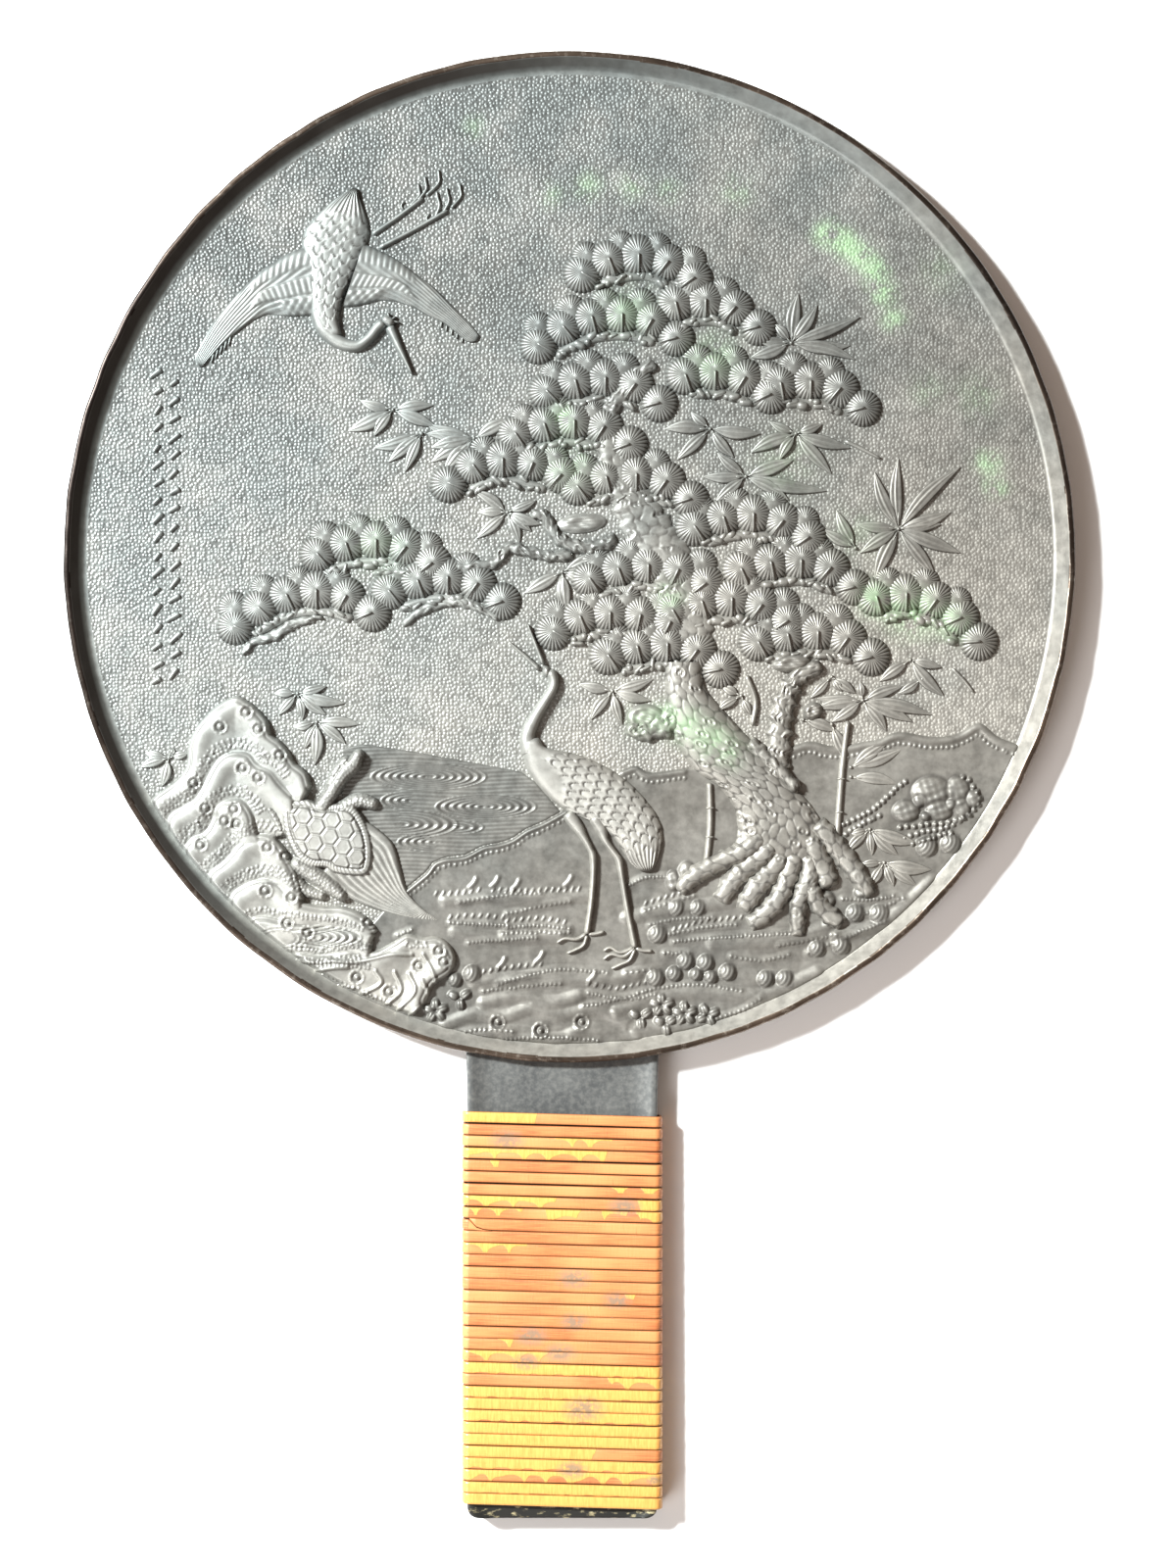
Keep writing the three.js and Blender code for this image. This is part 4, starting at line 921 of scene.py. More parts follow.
# A cut branch end seen from its side: an oval dome (1 - r^4)^0.5, less rings 0.35 (0.5 + 0.5 cos 2 pi n r)
def ovalRings(x0, y0, a, b, turn, height, rings):
    angle = np.linspace(0, 2 * math.pi, 48, endpoint=False)[None]
    r = np.linspace(0, 1, 15)[:, None]
    dome = np.clip(1 - r ** 4, 0, 1) ** 0.5
    wave = 0.5 + 0.5 * np.cos(r * math.pi * 2 * rings)
    lumps = uneven(3 * r * np.cos(angle), 3 * r * np.sin(angle), 1.6, 3)
    z = groundZ - sunk + (height + sunk) * dome - 0.35 * wave * (r < 0.9) * dome + 0.12 * dome * lumps
    u, v = a * r * np.cos(angle), b * r * np.sin(angle)
    return surface(x0 + u * math.cos(turn) - v * math.sin(turn), y0 + u * math.sin(turn) + v * math.cos(turn),
                   z, wrap=True, dirtAndShade=0.35 * wave * (r < 0.92))


# The broken stub on the left of the trunk, its short branch, and the three smaller cut ends
def stubSurfaces():
    made = [ovalRings(16.2, -33.8, 4.4, 3.2, -0.15, 1.5, 2), ovalRings(46.5, -22.2, 4.2, 1.9, 0.1, 1.9, 1),
            ovalRings(51, -32.2, 2.3, 1.9, 0.4, 1.7, 1), ovalRings(2.5, 7.2, 5.6, 2.2, 0.1, 1.0, 1)]
    made.append(barkBranch([(23, -33, 6.4), (19, -35.5, 5.6), (14.5, -36.5, 4.2), (12.4, -34.6, 2.6)], 1.7,
                           34, 17, 31))
    return made


# The bamboo stalks with their knots, and the twigs that stand behind the rocks and the cranes
def stalkSurfaces():
    made = [cord([(29.4, -47, 1.5), (29.5, -56, 1.6), (28.7, -64.4, 1.7)], 1.15, rows=40),
            cord([(58.4, -34, 1.5), (57.2, -44, 1.6), (56.6, -52, 1.7), (56, -60.8, 1.8)], 1.15, rows=40),
            cord([(37, -24.5, 1.4), (39, -30, 1.4), (38.3, -35.4, 1.3)], 1.0, rows=24),
            barkBranch([(-69, -20.6, 1.0), (-66, -17.6, 2.0), (-62, -16.4, 2.4), (-58, -13.9, 2.4),
                        (-53, -12.8, 1.8)], 0.8, 40, 9, 41), cord([(80, -23, 0.8), (82.5, -25.5, 0.9),
        (85, -28.6, 0.6)], 0.7, rows=12), cord([(57.5, 24.6, 1.2), (61, 23, 1.1), (65.5, 20.6, 0.7)], 0.8,
        rows=16), barkBranch([(-35.2, -14.3, 1.4), (-30, -10.6, 2.4), (-24, -9.2, 2.4), (-18.5, -10.8, 2.2),
                              (-14.6, -13.1, 1.2)], 0.9, 50, 9, 42)]
    for x, y in [(29.5, -52.5), (29.4, -58.6), (57, -46.4), (56.6, -53.4)]:
        made.append(cord([(x - 0.95, y, 0.6), (x + 0.95, y, 0.6)], 1.4, rows=7, cols=5))
    return made


# Distance of every place to a line of points; a third column of the line is read off at the nearest point
def lineDistance(x, y, line):
    line = np.asarray(line, float)
    near, carried = np.full(x.shape, 1e9), np.zeros(x.shape)
    for a, b in zip(line[:-1], line[1:]):
        dx, dy = b[0] - a[0], b[1] - a[1]
        s = np.clip(((x - a[0]) * dx + (y - a[1]) * dy) / max(dx * dx + dy * dy, 1e-12), 0, 1)
        d = np.hypot(x - a[0] - s * dx, y - a[1] - s * dy)
        if line.shape[1] > 2:
            carried = np.where(d < near, a[2] + s * (b[2] - a[2]), carried)
        near = np.minimum(near, d)
    return near, carried


# Whether places lie inside a closed outline: the ray to the right crosses an odd number of its edges
def insideOf(x, y, outline):
    inside = np.zeros(x.shape, bool)
    for (ax, ay), (bx, by) in zip(outline, np.roll(outline, -1, 0)):
        if ay != by:
            inside ^= ((ay > y) != (by > y)) & (x < (bx - ax) * (y - ay) / (by - ay) + ax)
    return inside


# A relief canvas: a square grid over a box, on which shapes are raised. It starts below the ground,
# and the cells that no shape reaches are left out of the mesh.
def newCanvas(x0, x1, y0, y1, step):
    x, y = np.meshgrid(np.arange(x0, x1, step), np.arange(y0, y1, step))
    return {"x": x, "y": y, "z": np.full(x.shape, groundZ - sunk), "dirtAndShade": np.zeros(x.shape)}


# The part of a canvas that lies within a margin of some points
def windowOf(canvas, points, margin):
    points = np.asarray(points, float)[:, :2]
    low, high = points.min(0) - margin, points.max(0) + margin
    rows = np.searchsorted(canvas["y"][:, 0], (low[1], high[1]))
    cols = np.searchsorted(canvas["x"][0], (low[0], high[0]))
    return slice(*rows), slice(*cols)


# The mesh of a canvas: the squares of its grid that reach above its floor
def canvasSurface(canvas):
    z = canvas["z"]
    index = np.arange(z.size).reshape(z.shape)
    quads = gridQuads(index)
    quads = quads[z.ravel()[quads].max(1) > groundZ - sunk + 0.05]
    used, renamed = np.unique(quads, return_inverse=True)
    points = np.stack([canvas["x"], canvas["y"], z], -1).reshape(-1, 3)[used]
    empty = np.zeros(len(used))
    return {"points": points, "quads": renamed.reshape(-1, 4), "dirtAndShade": np.clip(canvas["dirtAndShade"].ravel()[used],
        0, 1), "u": empty, "v": empty}


# Raises a closed shape by top(x, y, d), d being the distance in from its outline;
# its edge is rounded over the given width as (1 - (1 - d / edge)^2)^0.5
def raiseShape(canvas, outline, top, edge):
    outline = np.asarray(outline, float)[:, :2]
    w = windowOf(canvas, outline, 0.3)
    x, y = canvas["x"][w], canvas["y"][w]
    d, _ = lineDistance(x, y, np.vstack([outline, outline[:1]]))
    rise = quarterCircle(d / edge)
    z = groundZ - sunk + (top(x, y, d) + sunk) * rise
    above = insideOf(x, y, outline) & (z > canvas["z"][w])
    canvas["z"][w] = np.where(above, z, canvas["z"][w])
    return w, above


# Raises a rounded cord along (x, y, width): height times (1 - (distance / half width)^2)^0.5
def raiseCord(canvas, path, height):
    line = smoothLine(path, 30)
    w = windowOf(canvas, line, line[:, 2].max())
    d, width = lineDistance(canvas["x"][w], canvas["y"][w], line)
    across = 2 * d / np.maximum(width, 1e-3)
    z = groundZ - sunk + (height + sunk) * np.sqrt(np.clip(1 - across ** 2, 0, 1))
    canvas["z"][w] = np.where(across < 1, np.maximum(canvas["z"][w], z), canvas["z"][w])


# Adds a low ridge along a line: height times (1 - (2 d / width)^2)^1.5
def stampRidge(canvas, path, width, height, rows=24):
    line = smoothLine(path, rows)[:, :2]
    w = windowOf(canvas, line, width)
    d, _ = lineDistance(canvas["x"][w], canvas["y"][w], line)
    canvas["z"][w] += height * np.clip(1 - (2 * d / width) ** 2, 0, 1) ** 1.5
    canvas["dirtAndShade"][w] = np.maximum(canvas["dirtAndShade"][w], 0.18 * np.exp(-((d - 0.62 * width) / 0.22) ** 2))


# Adds beads: height times (1 - (d / radius)^2)^0.5 round every place, with dirt at their feet
def stampDots(canvas, places, radius=0.32, height=0.28):
    for px, py in np.asarray(places, float)[:, :2]:
        w = windowOf(canvas, [(px, py)], radius * 1.8)
        d = np.hypot(canvas["x"][w] - px, canvas["y"][w] - py) / radius
        canvas["z"][w] += height * np.sqrt(np.clip(1 - d ** 2, 0, 1))
        canvas["dirtAndShade"][w] = np.maximum(canvas["dirtAndShade"][w], 0.5 * np.exp(-((d - 1.2) / 0.35) ** 2))


# Rows of beads along a line, each row moved off it to the left by one of the offsets
def stampRows(canvas, path, pitch=0.9, offsets=(0,), radius=0.32, height=0.28):
    length = runOf(smoothLine(path, 120))[-1]
    rng = np.random.default_rng(int(length * 100))
    for offset in offsets:
        line = smoothLine(path, max(3, int(length / pitch) + rng.integers(-2, 3)))
        strayed = rng.normal(0, 0.07 + 0.05 * (len(offsets) > 1), (len(line), 2))
        places = line[:, :2] + normalsOf(line) * offset + strayed
        stampDots(canvas, places, radius, height * rng.uniform(0.8, 1.2))


# An eye: a pip in a hollow with a ring of beads round it
def stampEye(canvas, x0, y0, size=1.0):
    w = windowOf(canvas, [(x0, y0)], 2.4 * size)
    dx, dy = canvas["x"][w] - x0, canvas["y"][w] - y0
    d = np.hypot(dx, dy) / size
    beads = 0.75 + 0.25 * np.cos(9 * np.arctan2(dy, dx))
    canvas["z"][w] += (0.55 * np.exp(-(d / 0.42) ** 2) - 0.32 * np.exp(-((d - 0.85) / 0.30) ** 2)
                       + 0.30 * np.exp(-((d - 1.5) / 0.26) ** 2) * beads)
    canvas["dirtAndShade"][w] = np.maximum(canvas["dirtAndShade"][w], 0.75 * np.exp(-((d - 0.85) / 0.24) ** 2))


# Nested ridges round an oval, as 0.5 + 0.5 cos(2 pi n e) of the elliptical radius e, on the side asked for
def stampRipples(canvas, x0, y0, a, b, count, height, side=0, hollow=0.0):
    w = windowOf(canvas, [(x0 - a, y0 - b), (x0 + a, y0 + b)], 0.5)
    u, v = (canvas["x"][w] - x0) / a, (canvas["y"][w] - y0) / b
    e = np.hypot(u, v)
    on = softStep(1.04, 1.0, e) * softStep(hollow - 0.02, hollow + 0.02, e)
    if side:
        on = on * softStep(-0.15, 0.1, side * u)
    wave = 0.5 + 0.5 * np.cos(2 * math.pi * count * e)
    canvas["z"][w] += on * height * (wave - 0.5)
    canvas["dirtAndShade"][w] = canvas["dirtAndShade"][w] * (1 - on) + 0.6 * on * (1 - wave) ** 2


# The stepped rocks, back to front: each one's upper edge, the points that close it below, and its height
terraces = [
    ([(-88.5, -55), (-88.3, -52), (-87, -50), (-83, -47), (-80.5, -44), (-80, -40), (-79, -37), (-77, -34),
     (-74, -31), (-70, -29), (-67.5, -30), (-65, -32), (-63, -34.5), (-62.5, -37), (-60.5, -38.5),
     (-58.5, -41), (-57.5, -43), (-55, -45), (-54, -48)], [(-56, -52), (-66, -50), (-76, -54), (-84, -60)],
     2.3),
    ([(-85.5, -59), (-84, -54), (-81, -52), (-78.5, -50.5), (-77, -48), (-75.5, -45), (-73.5, -42),
     (-70.5, -40.5), (-67, -40.8), (-65, -43), (-62, -44.5), (-60, -47), (-57.5, -49.5)], [(-57, -58),
     (-66, -60), (-74, -60), (-82, -67)], 2.3),
    ([(-82, -66), (-81, -61), (-79, -58.5), (-76.5, -57.5), (-75, -55), (-74.5, -52.5), (-72.5, -50.8),
     (-69.5, -50.3), (-67.5, -51.5), (-66, -54), (-65.5, -57)], [(-62, -64), (-70, -66), (-77, -73)], 2.3),
    ([(-77.5, -71), (-75.5, -66), (-73, -64), (-71, -62), (-69.5, -60), (-67, -58.5), (-64.5, -57.8),
     (-62, -58.5), (-60, -60.5), (-58.5, -63), (-57, -66), (-55.5, -71)], [(-56, -75), (-64, -73),
     (-72, -79)], 2.3),
    ([(-73, -76), (-71, -70.5), (-68.5, -68.5), (-65.5, -67.3), (-63, -67), (-60, -68), (-58, -70),
     (-56, -72), (-52, -73), (-47, -73.2), (-43, -75), (-40, -78)], [(-42, -82), (-60, -80), (-69, -83)],
     2.1),
    ([(-70, -79.5), (-67, -75.5), (-64, -74.8), (-60, -75.5), (-56, -76), (-50, -76.8), (-45, -78),
     (-41, -80.5)], [(-42, -86), (-54, -88), (-64, -88)], 1.9),
    ([(-63, -86.5), (-58, -82.8), (-52, -83.2), (-46, -82.2), (-41, -82.4), (-37, -80.5), (-34, -78.8),
     (-31, -79.6), (-27.5, -79.4), (-24.8, -81.4), (-23.7, -84.5), (-25, -87.4), (-28.2, -89.6), (-30, -93)],
     [(-34, -98), (-50, -92)], 1.8)]
# eyes: hollows with a pip, and ridges: low folds between them
rockEyes = [
    (-73, -35.5), (-67.5, -32.5), (-65, -36), (-60.5, -41.5), (-78.5, -47.3), (-68.3, -44.2), (-65, -46.2),
    (-76, -52.5), (-70, -52.7), (-72, -55.2), (-69.6, -55.8), (-77, -60.2), (-63, -60.8), (-59.3, -62.6),
    (-63.5, -69.8), (-58, -71.2), (-59, -76.6), (-54.7, -78.6), (-44.5, -88), (-37.7, -91), (-27.2, -82.4),
    (-26.2, -84.6), (-31.5, -85.6), (-42, -76.4)]
rockRidges = [
    [(-46, -92.6), (-39.6, -89.4), (-40.6, -86.6)], [(-40.4, -95), (-35.4, -91), (-36.6, -86.8)],
    [(-37, -95.8), (-32.4, -91), (-33.6, -87.2)], [(-34.4, -96.6), (-29.6, -92.4), (-30.8, -88.4)],
    [(-60.5, -83.5), (-56, -84.8), (-51, -84.2), (-45, -84.8), (-37.5, -83.2), (-33, -83.2)],
    [(-56, -87.6), (-51, -86.2), (-46.5, -85.8)], [(-30.6, -83.2), (-28.6, -86.8), (-27.8, -89.4)],
    [(-52, -90.2), (-48, -89.8), (-45.4, -90.4)]]


# The rocks: each terrace falls away from its upper edge, with a groove and a swell of exp(-(d / w)^2) along
# that edge; beads, eyes, ridges and ripples are stamped on them
def rockSurface():
    rock = newCanvas(-97, -21, -99, -27, 0.24)
    lines = [smoothLine(edge, 60) for edge, _, _ in terraces]
    for number, (edge, closing, height) in enumerate(terraces):
        line = lines[number]

        def top(x, y, d, line=line, height=height):
            upper, _ = lineDistance(x, y, line)
            step = -0.34 * np.exp(-((upper - 1.15) / 0.30) ** 2)
            fall = np.minimum(0.13 * np.maximum(upper - 1.5, 0), height - 1.0)
            nearRim = softStep(102.1, 100.6, np.hypot(x, y))
            swell = 0.45 * np.exp(-((upper - 2.6) / 1.5) ** 2)
            return (height - fall + step + swell + 0.14 * uneven(x, y, 8, 40)) * nearRim - 0.5 * (1 - nearRim)

        w, above = raiseShape(rock, np.vstack([line, closing]), top, 1.1)
        upper, _ = lineDistance(rock["x"][w], rock["y"][w], line)
        rock["dirtAndShade"][w] = np.where(above, 0.6 * np.exp(-((upper - 1.15) / 0.28) ** 2), rock["dirtAndShade"][w])
        if number + 1 < len(terraces):
            stampRows(rock, lines[number + 1][4:-6], 0.82, (0.6, 1.2, 1.8, 2.4) if number < 4 else (0.6, 1.2),
                      0.30, 0.26)
    stampRipples(rock, -60.6, -79.8, 5.4, 2.4, 4, 0.30, hollow=0.62)
    stampRipples(rock, -57, -79.6, 13.5, 2.6, 8, 0.55, side=1, hollow=0.36)
    stampRipples(rock, -41.6, -76.4, 5.0, 3.0, 3, 0.50, side=1, hollow=0.45)
    for path in rockRidges:
        stampRidge(rock, path, 1.0, 0.55)
    for path in [[(-62, -85), (-52, -84.8), (-44, -84)], [(-52, -88.4), (-44, -91.4), (-38, -94)],
                 [(-58, -86.3), (-50, -85.4), (-42, -86)], [(-34, -81.4), (-30, -81.4)]]:
        stampRows(rock, path, 0.8, (0, 0.7))
    for x, y in rockEyes:
        stampEye(rock, x, y, 0.95)
    rock["z"] = softCeiling(rock["z"], 5.3, 0.8)
    return canvasSurface(rock)


shell = [
    (-58.5, -50.8), (-55, -50.5), (-52, -51.6), (-47.5, -51.3), (-44.5, -52.5), (-42.3, -56), (-41.2, -60),
    (-41.2, -64), (-42.5, -66.6), (-46, -66.8), (-49.5, -66.2), (-51, -65.2), (-54, -65), (-57, -63.2),
    (-58.7, -60.5), (-59.9, -57), (-60.2, -53)]


# The tortoise: a domed shell of six-sided plates with a ribbed border, warty legs and neck, and a tail of
# streaming weed
def tortoiseSurface():
    work = newCanvas(-66, -24, -79, -38, 0.18)
    upper = smoothLine([(-43, -55), (-40, -57), (-37, -60), (-35.4, -65), (-33.8, -70), (-30.5, -73.6),
                        (-25.6, -76.8)], 40)
    lower = smoothLine([(-52, -66), (-49, -69.5), (-44.5, -72.4), (-38.5, -74.6), (-32, -76), (-25.6, -77)],
                       40)

    def weed(x, y, d):
        fromUpper, _ = lineDistance(x, y, upper)
        fromLower, _ = lineDistance(x, y, lower)
        share = fromUpper / np.maximum(fromUpper + fromLower, 1e-3)
        body = 1.5 - 0.05 * np.hypot(x + 48, y + 60) + 0.5 * (1 - share) ** 2
        return body + 0.11 * np.cos(2 * math.pi * 11 * share)

    w, above = raiseShape(work, np.vstack([upper, lower[::-1]]), weed, 0.7)
    x, y = work["x"][w], work["y"][w]
    fromUpper, _ = lineDistance(x, y, upper)
    fromLower, _ = lineDistance(x, y, lower)
    share = fromUpper / np.maximum(fromUpper + fromLower, 1e-3)
    work["dirtAndShade"][w] = np.where(above, 0.5 * (0.5 - 0.5 * np.cos(2 * math.pi * 11 * share)) ** 2, 0)
    legs = [([(-51.6, -52, 3.6), (-49.4, -48.6, 3.3), (-47.2, -45.4, 3.4), (-45.2, -43.4, 3.6),
              (-44.2, -41.4, 2.6)], 3.0), ([(-50, -47.6, 2.4), (-48.6, -44.6, 2.6), (-46.8, -42.6, 2.2)],
        2.2), ([(-47.5, -52.4, 3.6), (-44, -51.0, 3.6), (-41.2, -51.6, 2.8)], 2.1),
        ([(-62.6, -53, 2.0), (-61.6, -54.6, 2.6), (-60.4, -57, 1.6)], 2.0),
        ([(-57, -64.4, 3.6), (-53.4, -66.6, 4.0), (-50, -69, 3.8), (-47.8, -70.8, 2.6)], 2.5),
        ([(-57.6, -67, 2.4), (-55.6, -69.6, 2.8), (-52, -70.8, 2.4)], 1.6)]
    for path, height in legs:
        raiseCord(work, path, height)
        middle = [(a, b) for a, b, _ in path]
        stampRows(work, middle, 0.7, (0, 0.65, -0.65, 1.2, -1.2), 0.30, 0.16)
    outline = smoothLine(shell + shell[:1], 90)

    def dome(x, y, d):
        turn = math.radians(-38)
        px = ((x + 50) * math.cos(turn) + (y + 58.5) * math.sin(turn)) / 3.5
        py = (-(x + 50) * math.sin(turn) + (y + 58.5) * math.cos(turn)) / 3.5
        tall = math.sqrt(3)
        ax, ay = np.mod(px, 1) - 0.5, np.mod(py, tall) - tall / 2
        bx, by = np.mod(px - 0.5, 1) - 0.5, np.mod(py - tall / 2, tall) - tall / 2
        first = ax ** 2 + ay ** 2 < bx ** 2 + by ** 2
        gx, gy = np.abs(np.where(first, ax, bx)), np.abs(np.where(first, ay, by))
        plate = np.maximum(gx, 0.5 * gx + 0.866 * gy)
        inner = softStep(1.5, 1.9, d)
        ribs = np.cos(np.arctan2(y + 58.5, x + 50) * 66)
        return (1.55 + 1.25 * quarterCircle(d / 8) + 0.25 * inner
                - inner * 0.42 * softStep(0.38, 0.49, plate) + inner * 0.12 * softStep(0.30, 0.36, plate)
                - (1 - inner) * 0.06 * ribs - 0.30 * np.exp(-((d - 1.65) / 0.22) ** 2))

    w, above = raiseShape(work, outline, dome, 0.6)
    x, y = work["x"][w], work["y"][w]
    d, _ = lineDistance(x, y, outline)
    slope = np.hypot(*np.gradient(work["z"][w]))
    hollow = np.clip((slope - 0.05) * 4, 0, 0.5) + 0.3 * np.exp(-((d - 1.65) / 0.25) ** 2)
    work["dirtAndShade"][w] = np.where(above, hollow, work["dirtAndShade"][w])
    work["z"] = softCeiling(work["z"], 5.4, 0.7)
    return canvasSurface(work)


shoreline = [
    (-38, -72.6), (-33, -68.5), (-30, -66), (-28.5, -64), (-26, -63), (-22, -62.5), (-18, -60.5), (-15, -60),
    (-12, -59), (-9, -57), (-5.5, -55.5), (-1, -53)]
hillLine = [
    (11, -44.5), (14, -43.6), (17, -45), (24, -44.2), (32, -43.6), (40, -42), (48, -39), (51, -38.5),
    (56, -39.5), (62, -38.5), (65, -38), (69, -36.5), (76, -37.5), (81, -37), (85, -34.8), (87, -35),
    (90, -37.5), (96, -39.8)]
# ripples as (x, y, half width, half depth, rings, side), side 0 being both
ripples = [
    (-29.5, -46, 12, 2.7, 7, 0), (-17.5, -52.3, 10.5, 2.5, 6, 0), (-35.5, -56, 12, 3.0, 6, 1),
    (-33, -51, 6.5, 1.9, 4, -1), (-28, -59.7, 8, 2.0, 5, -1), (-24, -56.6, 6, 1.4, 3, 1)]


# Still water: fine level lines, with nested oval ripples laid over them
def waterSurface():
    water = newCanvas(-48, -1, -72, -38, 0.2)
    shape = [(-48, -40), (-43, -39), (-33, -40.5), (-25, -42), (-18, -43.3), (-10, -44.8), (-7, -47),
             (-1.5, -53.5)]
    shape += shoreline[::-1] + [(-41, -70), (-44, -60), (-48, -50)]

    def lines(x, y, d):
        calm = np.ones_like(x)
        for x0, y0, a, b, _, side in ripples:
            e = np.hypot((x - x0) / a, (y - y0) / b)
            onSide = 1 if side == 0 else softStep(-0.15, 0.1, side * (x - x0))
            calm = np.minimum(calm, 1 - softStep(1.1, 1.0, e) * onSide)
        return 0.20 + 0.05 * calm * levelWave(x, y)

    def levelWave(x, y):
        return np.cos(2 * math.pi * (y + 0.25 * np.sin(x * 0.22)) / 0.86)

    w, above = raiseShape(water, shape, lines, 0.5)
    water["dirtAndShade"][w] = np.where(above, 0.22 * (0.5 - 0.5 * levelWave(water["x"][w], water["y"][w])) ** 2, 0)
    for x0, y0, a, b, count, side in ripples:
        stampRipples(water, x0, y0, a, b, count, 0.34, side=side, hollow=0.04)
    return canvasSurface(water)


# Beads and short slanting blades of grass, along lines across the shore
landBeads = [
    [(-23, -72.3), (-13, -70.7), (-6, -70.5)], [(-13, -74.8), (-5, -73), (0, -72.2)],
    [(-25, -76.6), (-18, -77), (-13, -77.2)], [(-13, -77.6), (-6, -77.2), (0, -77.8)],
    [(-14, -78.8), (-7, -78.6), (0, -78.7)], [(-21, -80.8), (-14, -80.2), (-7, -79.7)],
    [(-15, -89.5), (-8, -87.4), (-2, -86.5), (8, -87)], [(-18, -91), (-10, -90), (-2, -89.4)],
    [(12, -69), (16, -67.2), (20, -67)], [(16, -74), (21, -72.4), (26, -71)],
    [(17, -77), (23, -75.8), (30, -75.5)], [(21, -79), (28, -77.6), (35, -77)],
    [(22, -80.6), (32, -79.6), (48, -78.8)], [(20, -83), (25, -83)], [(12, -87), (17, -86.5)],
    [(3, -94), (8, -93.2), (13, -92), (18, -90.4), (27, -89.6), (36, -90.8)],
    [(4, -91.4), (12, -92.6), (18, -91.6)], [(34, -83.6), (40, -84.6), (46, -83.4)],
    [(44, -81.4), (50, -80.4), (56, -79)], [(-24, -100), (-18, -99), (-12, -99.4)],
    [(-14, -101.2), (-4, -100.6), (6, -101.4)], [(30, -97), (36, -95), (40, -92.6)],
    [(54, -76.8), (62, -74.8), (70, -71.4)], [(50, -83), (58, -79.8), (66, -76.2)],
    [(57.5, -71.6), (63, -71.8), (68, -71)], [(-36, -79.4), (-33, -78.2)]]
landBlades = [
    [(-28, -70.6), (-24, -70.4), (-19, -69.8)], [(-16, -69.8), (-10, -70), (2, -69.6)],
    [(-25, -75.5), (-20, -75.2), (-14, -75.6)], [(-13, -76.2), (-6, -75.8), (-1, -76.6)],
    [(-18, -87), (-12, -86), (-6, -85.4)], [(16, -72.6), (22, -70.8), (26, -69.6)],
    [(22, -78), (28, -76.4), (36, -75.6)], [(4, -89.4), (10, -90.4), (16, -89)]]
landRidges = [
    [(-26, -72), (-18, -71.2), (-8, -71.8), (4, -71)], [(-24, -78.4), (-14, -79.8), (-2, -79.6)],
    [(12, -75.6), (22, -74), (34, -72.2)], [(-20, -89), (-8, -88.2), (6, -88.6), (14, -87.6)],
    [(10, -95), (24, -91.4), (40, -91.8), (52, -87)],
    [(-26, -98), (-20, -95.8), (-14, -96.4), (-8, -94.6), (-2, -96), (6, -94.8), (12, -97.6)],
    [(-20, -101), (-12, -99.4), (-3, -101.2), (4, -99), (14, -101)],
    [(-18, -93.4), (-11, -92), (-4, -93.4), (2, -92)], [(14, -98.8), (22, -98.6), (30, -99.2)],
    [(56, -79.4), (66, -76.4), (76, -68)], [(30, -80.8), (44, -80.4), (54, -77.6)]]
# pebbles as (x, y, radius), rosettes as (x, y, petals), domes and stones as (x, y, half width, half depth)
pebbles = [
    (18.5, -79, 2.1), (22.5, -73.5, 1.9), (27, -73.5, 1.9), (18, -88.2, 2.0), (22, -87.3, 1.7),
    (24.4, -84.7, 1.9), (26.6, -87.4, 1.5), (28.6, -85, 1.9), (29.6, -88, 1.5), (33.2, -87, 1.9),
    (41.2, -88.4, 1.9), (45.2, -88.4, 1.9), (52, -82, 1.9), (57, -81.4, 2.0), (75, -60.6, 2.3),
    (80, -60, 2.2), (60, -74.6, 2.0), (65, -74.8, 2.2), (-20.4, -87.4, 2.0), (-24, -88.6, 1.6)]
rosettes = [(-28, -95, 5), (-23, -92.4, 3), (15, -96.4, 3), (19.4, -93.8, 5), (20.2, -97.8, 3),
            (24.2, -95.6, 5), (29, -96, 4)]
gardenDomes = [
    (70.6, -53.2, 3.0, 2.4), (76, -49.2, 4.4, 3.4), (81.4, -48.8, 2.6, 3.0), (77.6, -53, 3.0, 2.2),
    (73.4, -51, 1.4, 1.4), (82.2, -52.4, 2.0, 2.0), (84.6, -50.6, 1.6, 2.0), (80, -51.6, 1.2, 1.4),
    (74.6, -54.2, 1.2, 1.0)]
roundStones = [(24.6, -66.4, 2.0, 2.8), (21.8, -67.8, 1.7, 2.3), (53.2, -71.8, 2.6, 2.1),
               (61.2, -70.2, 1.6, 1.2)]


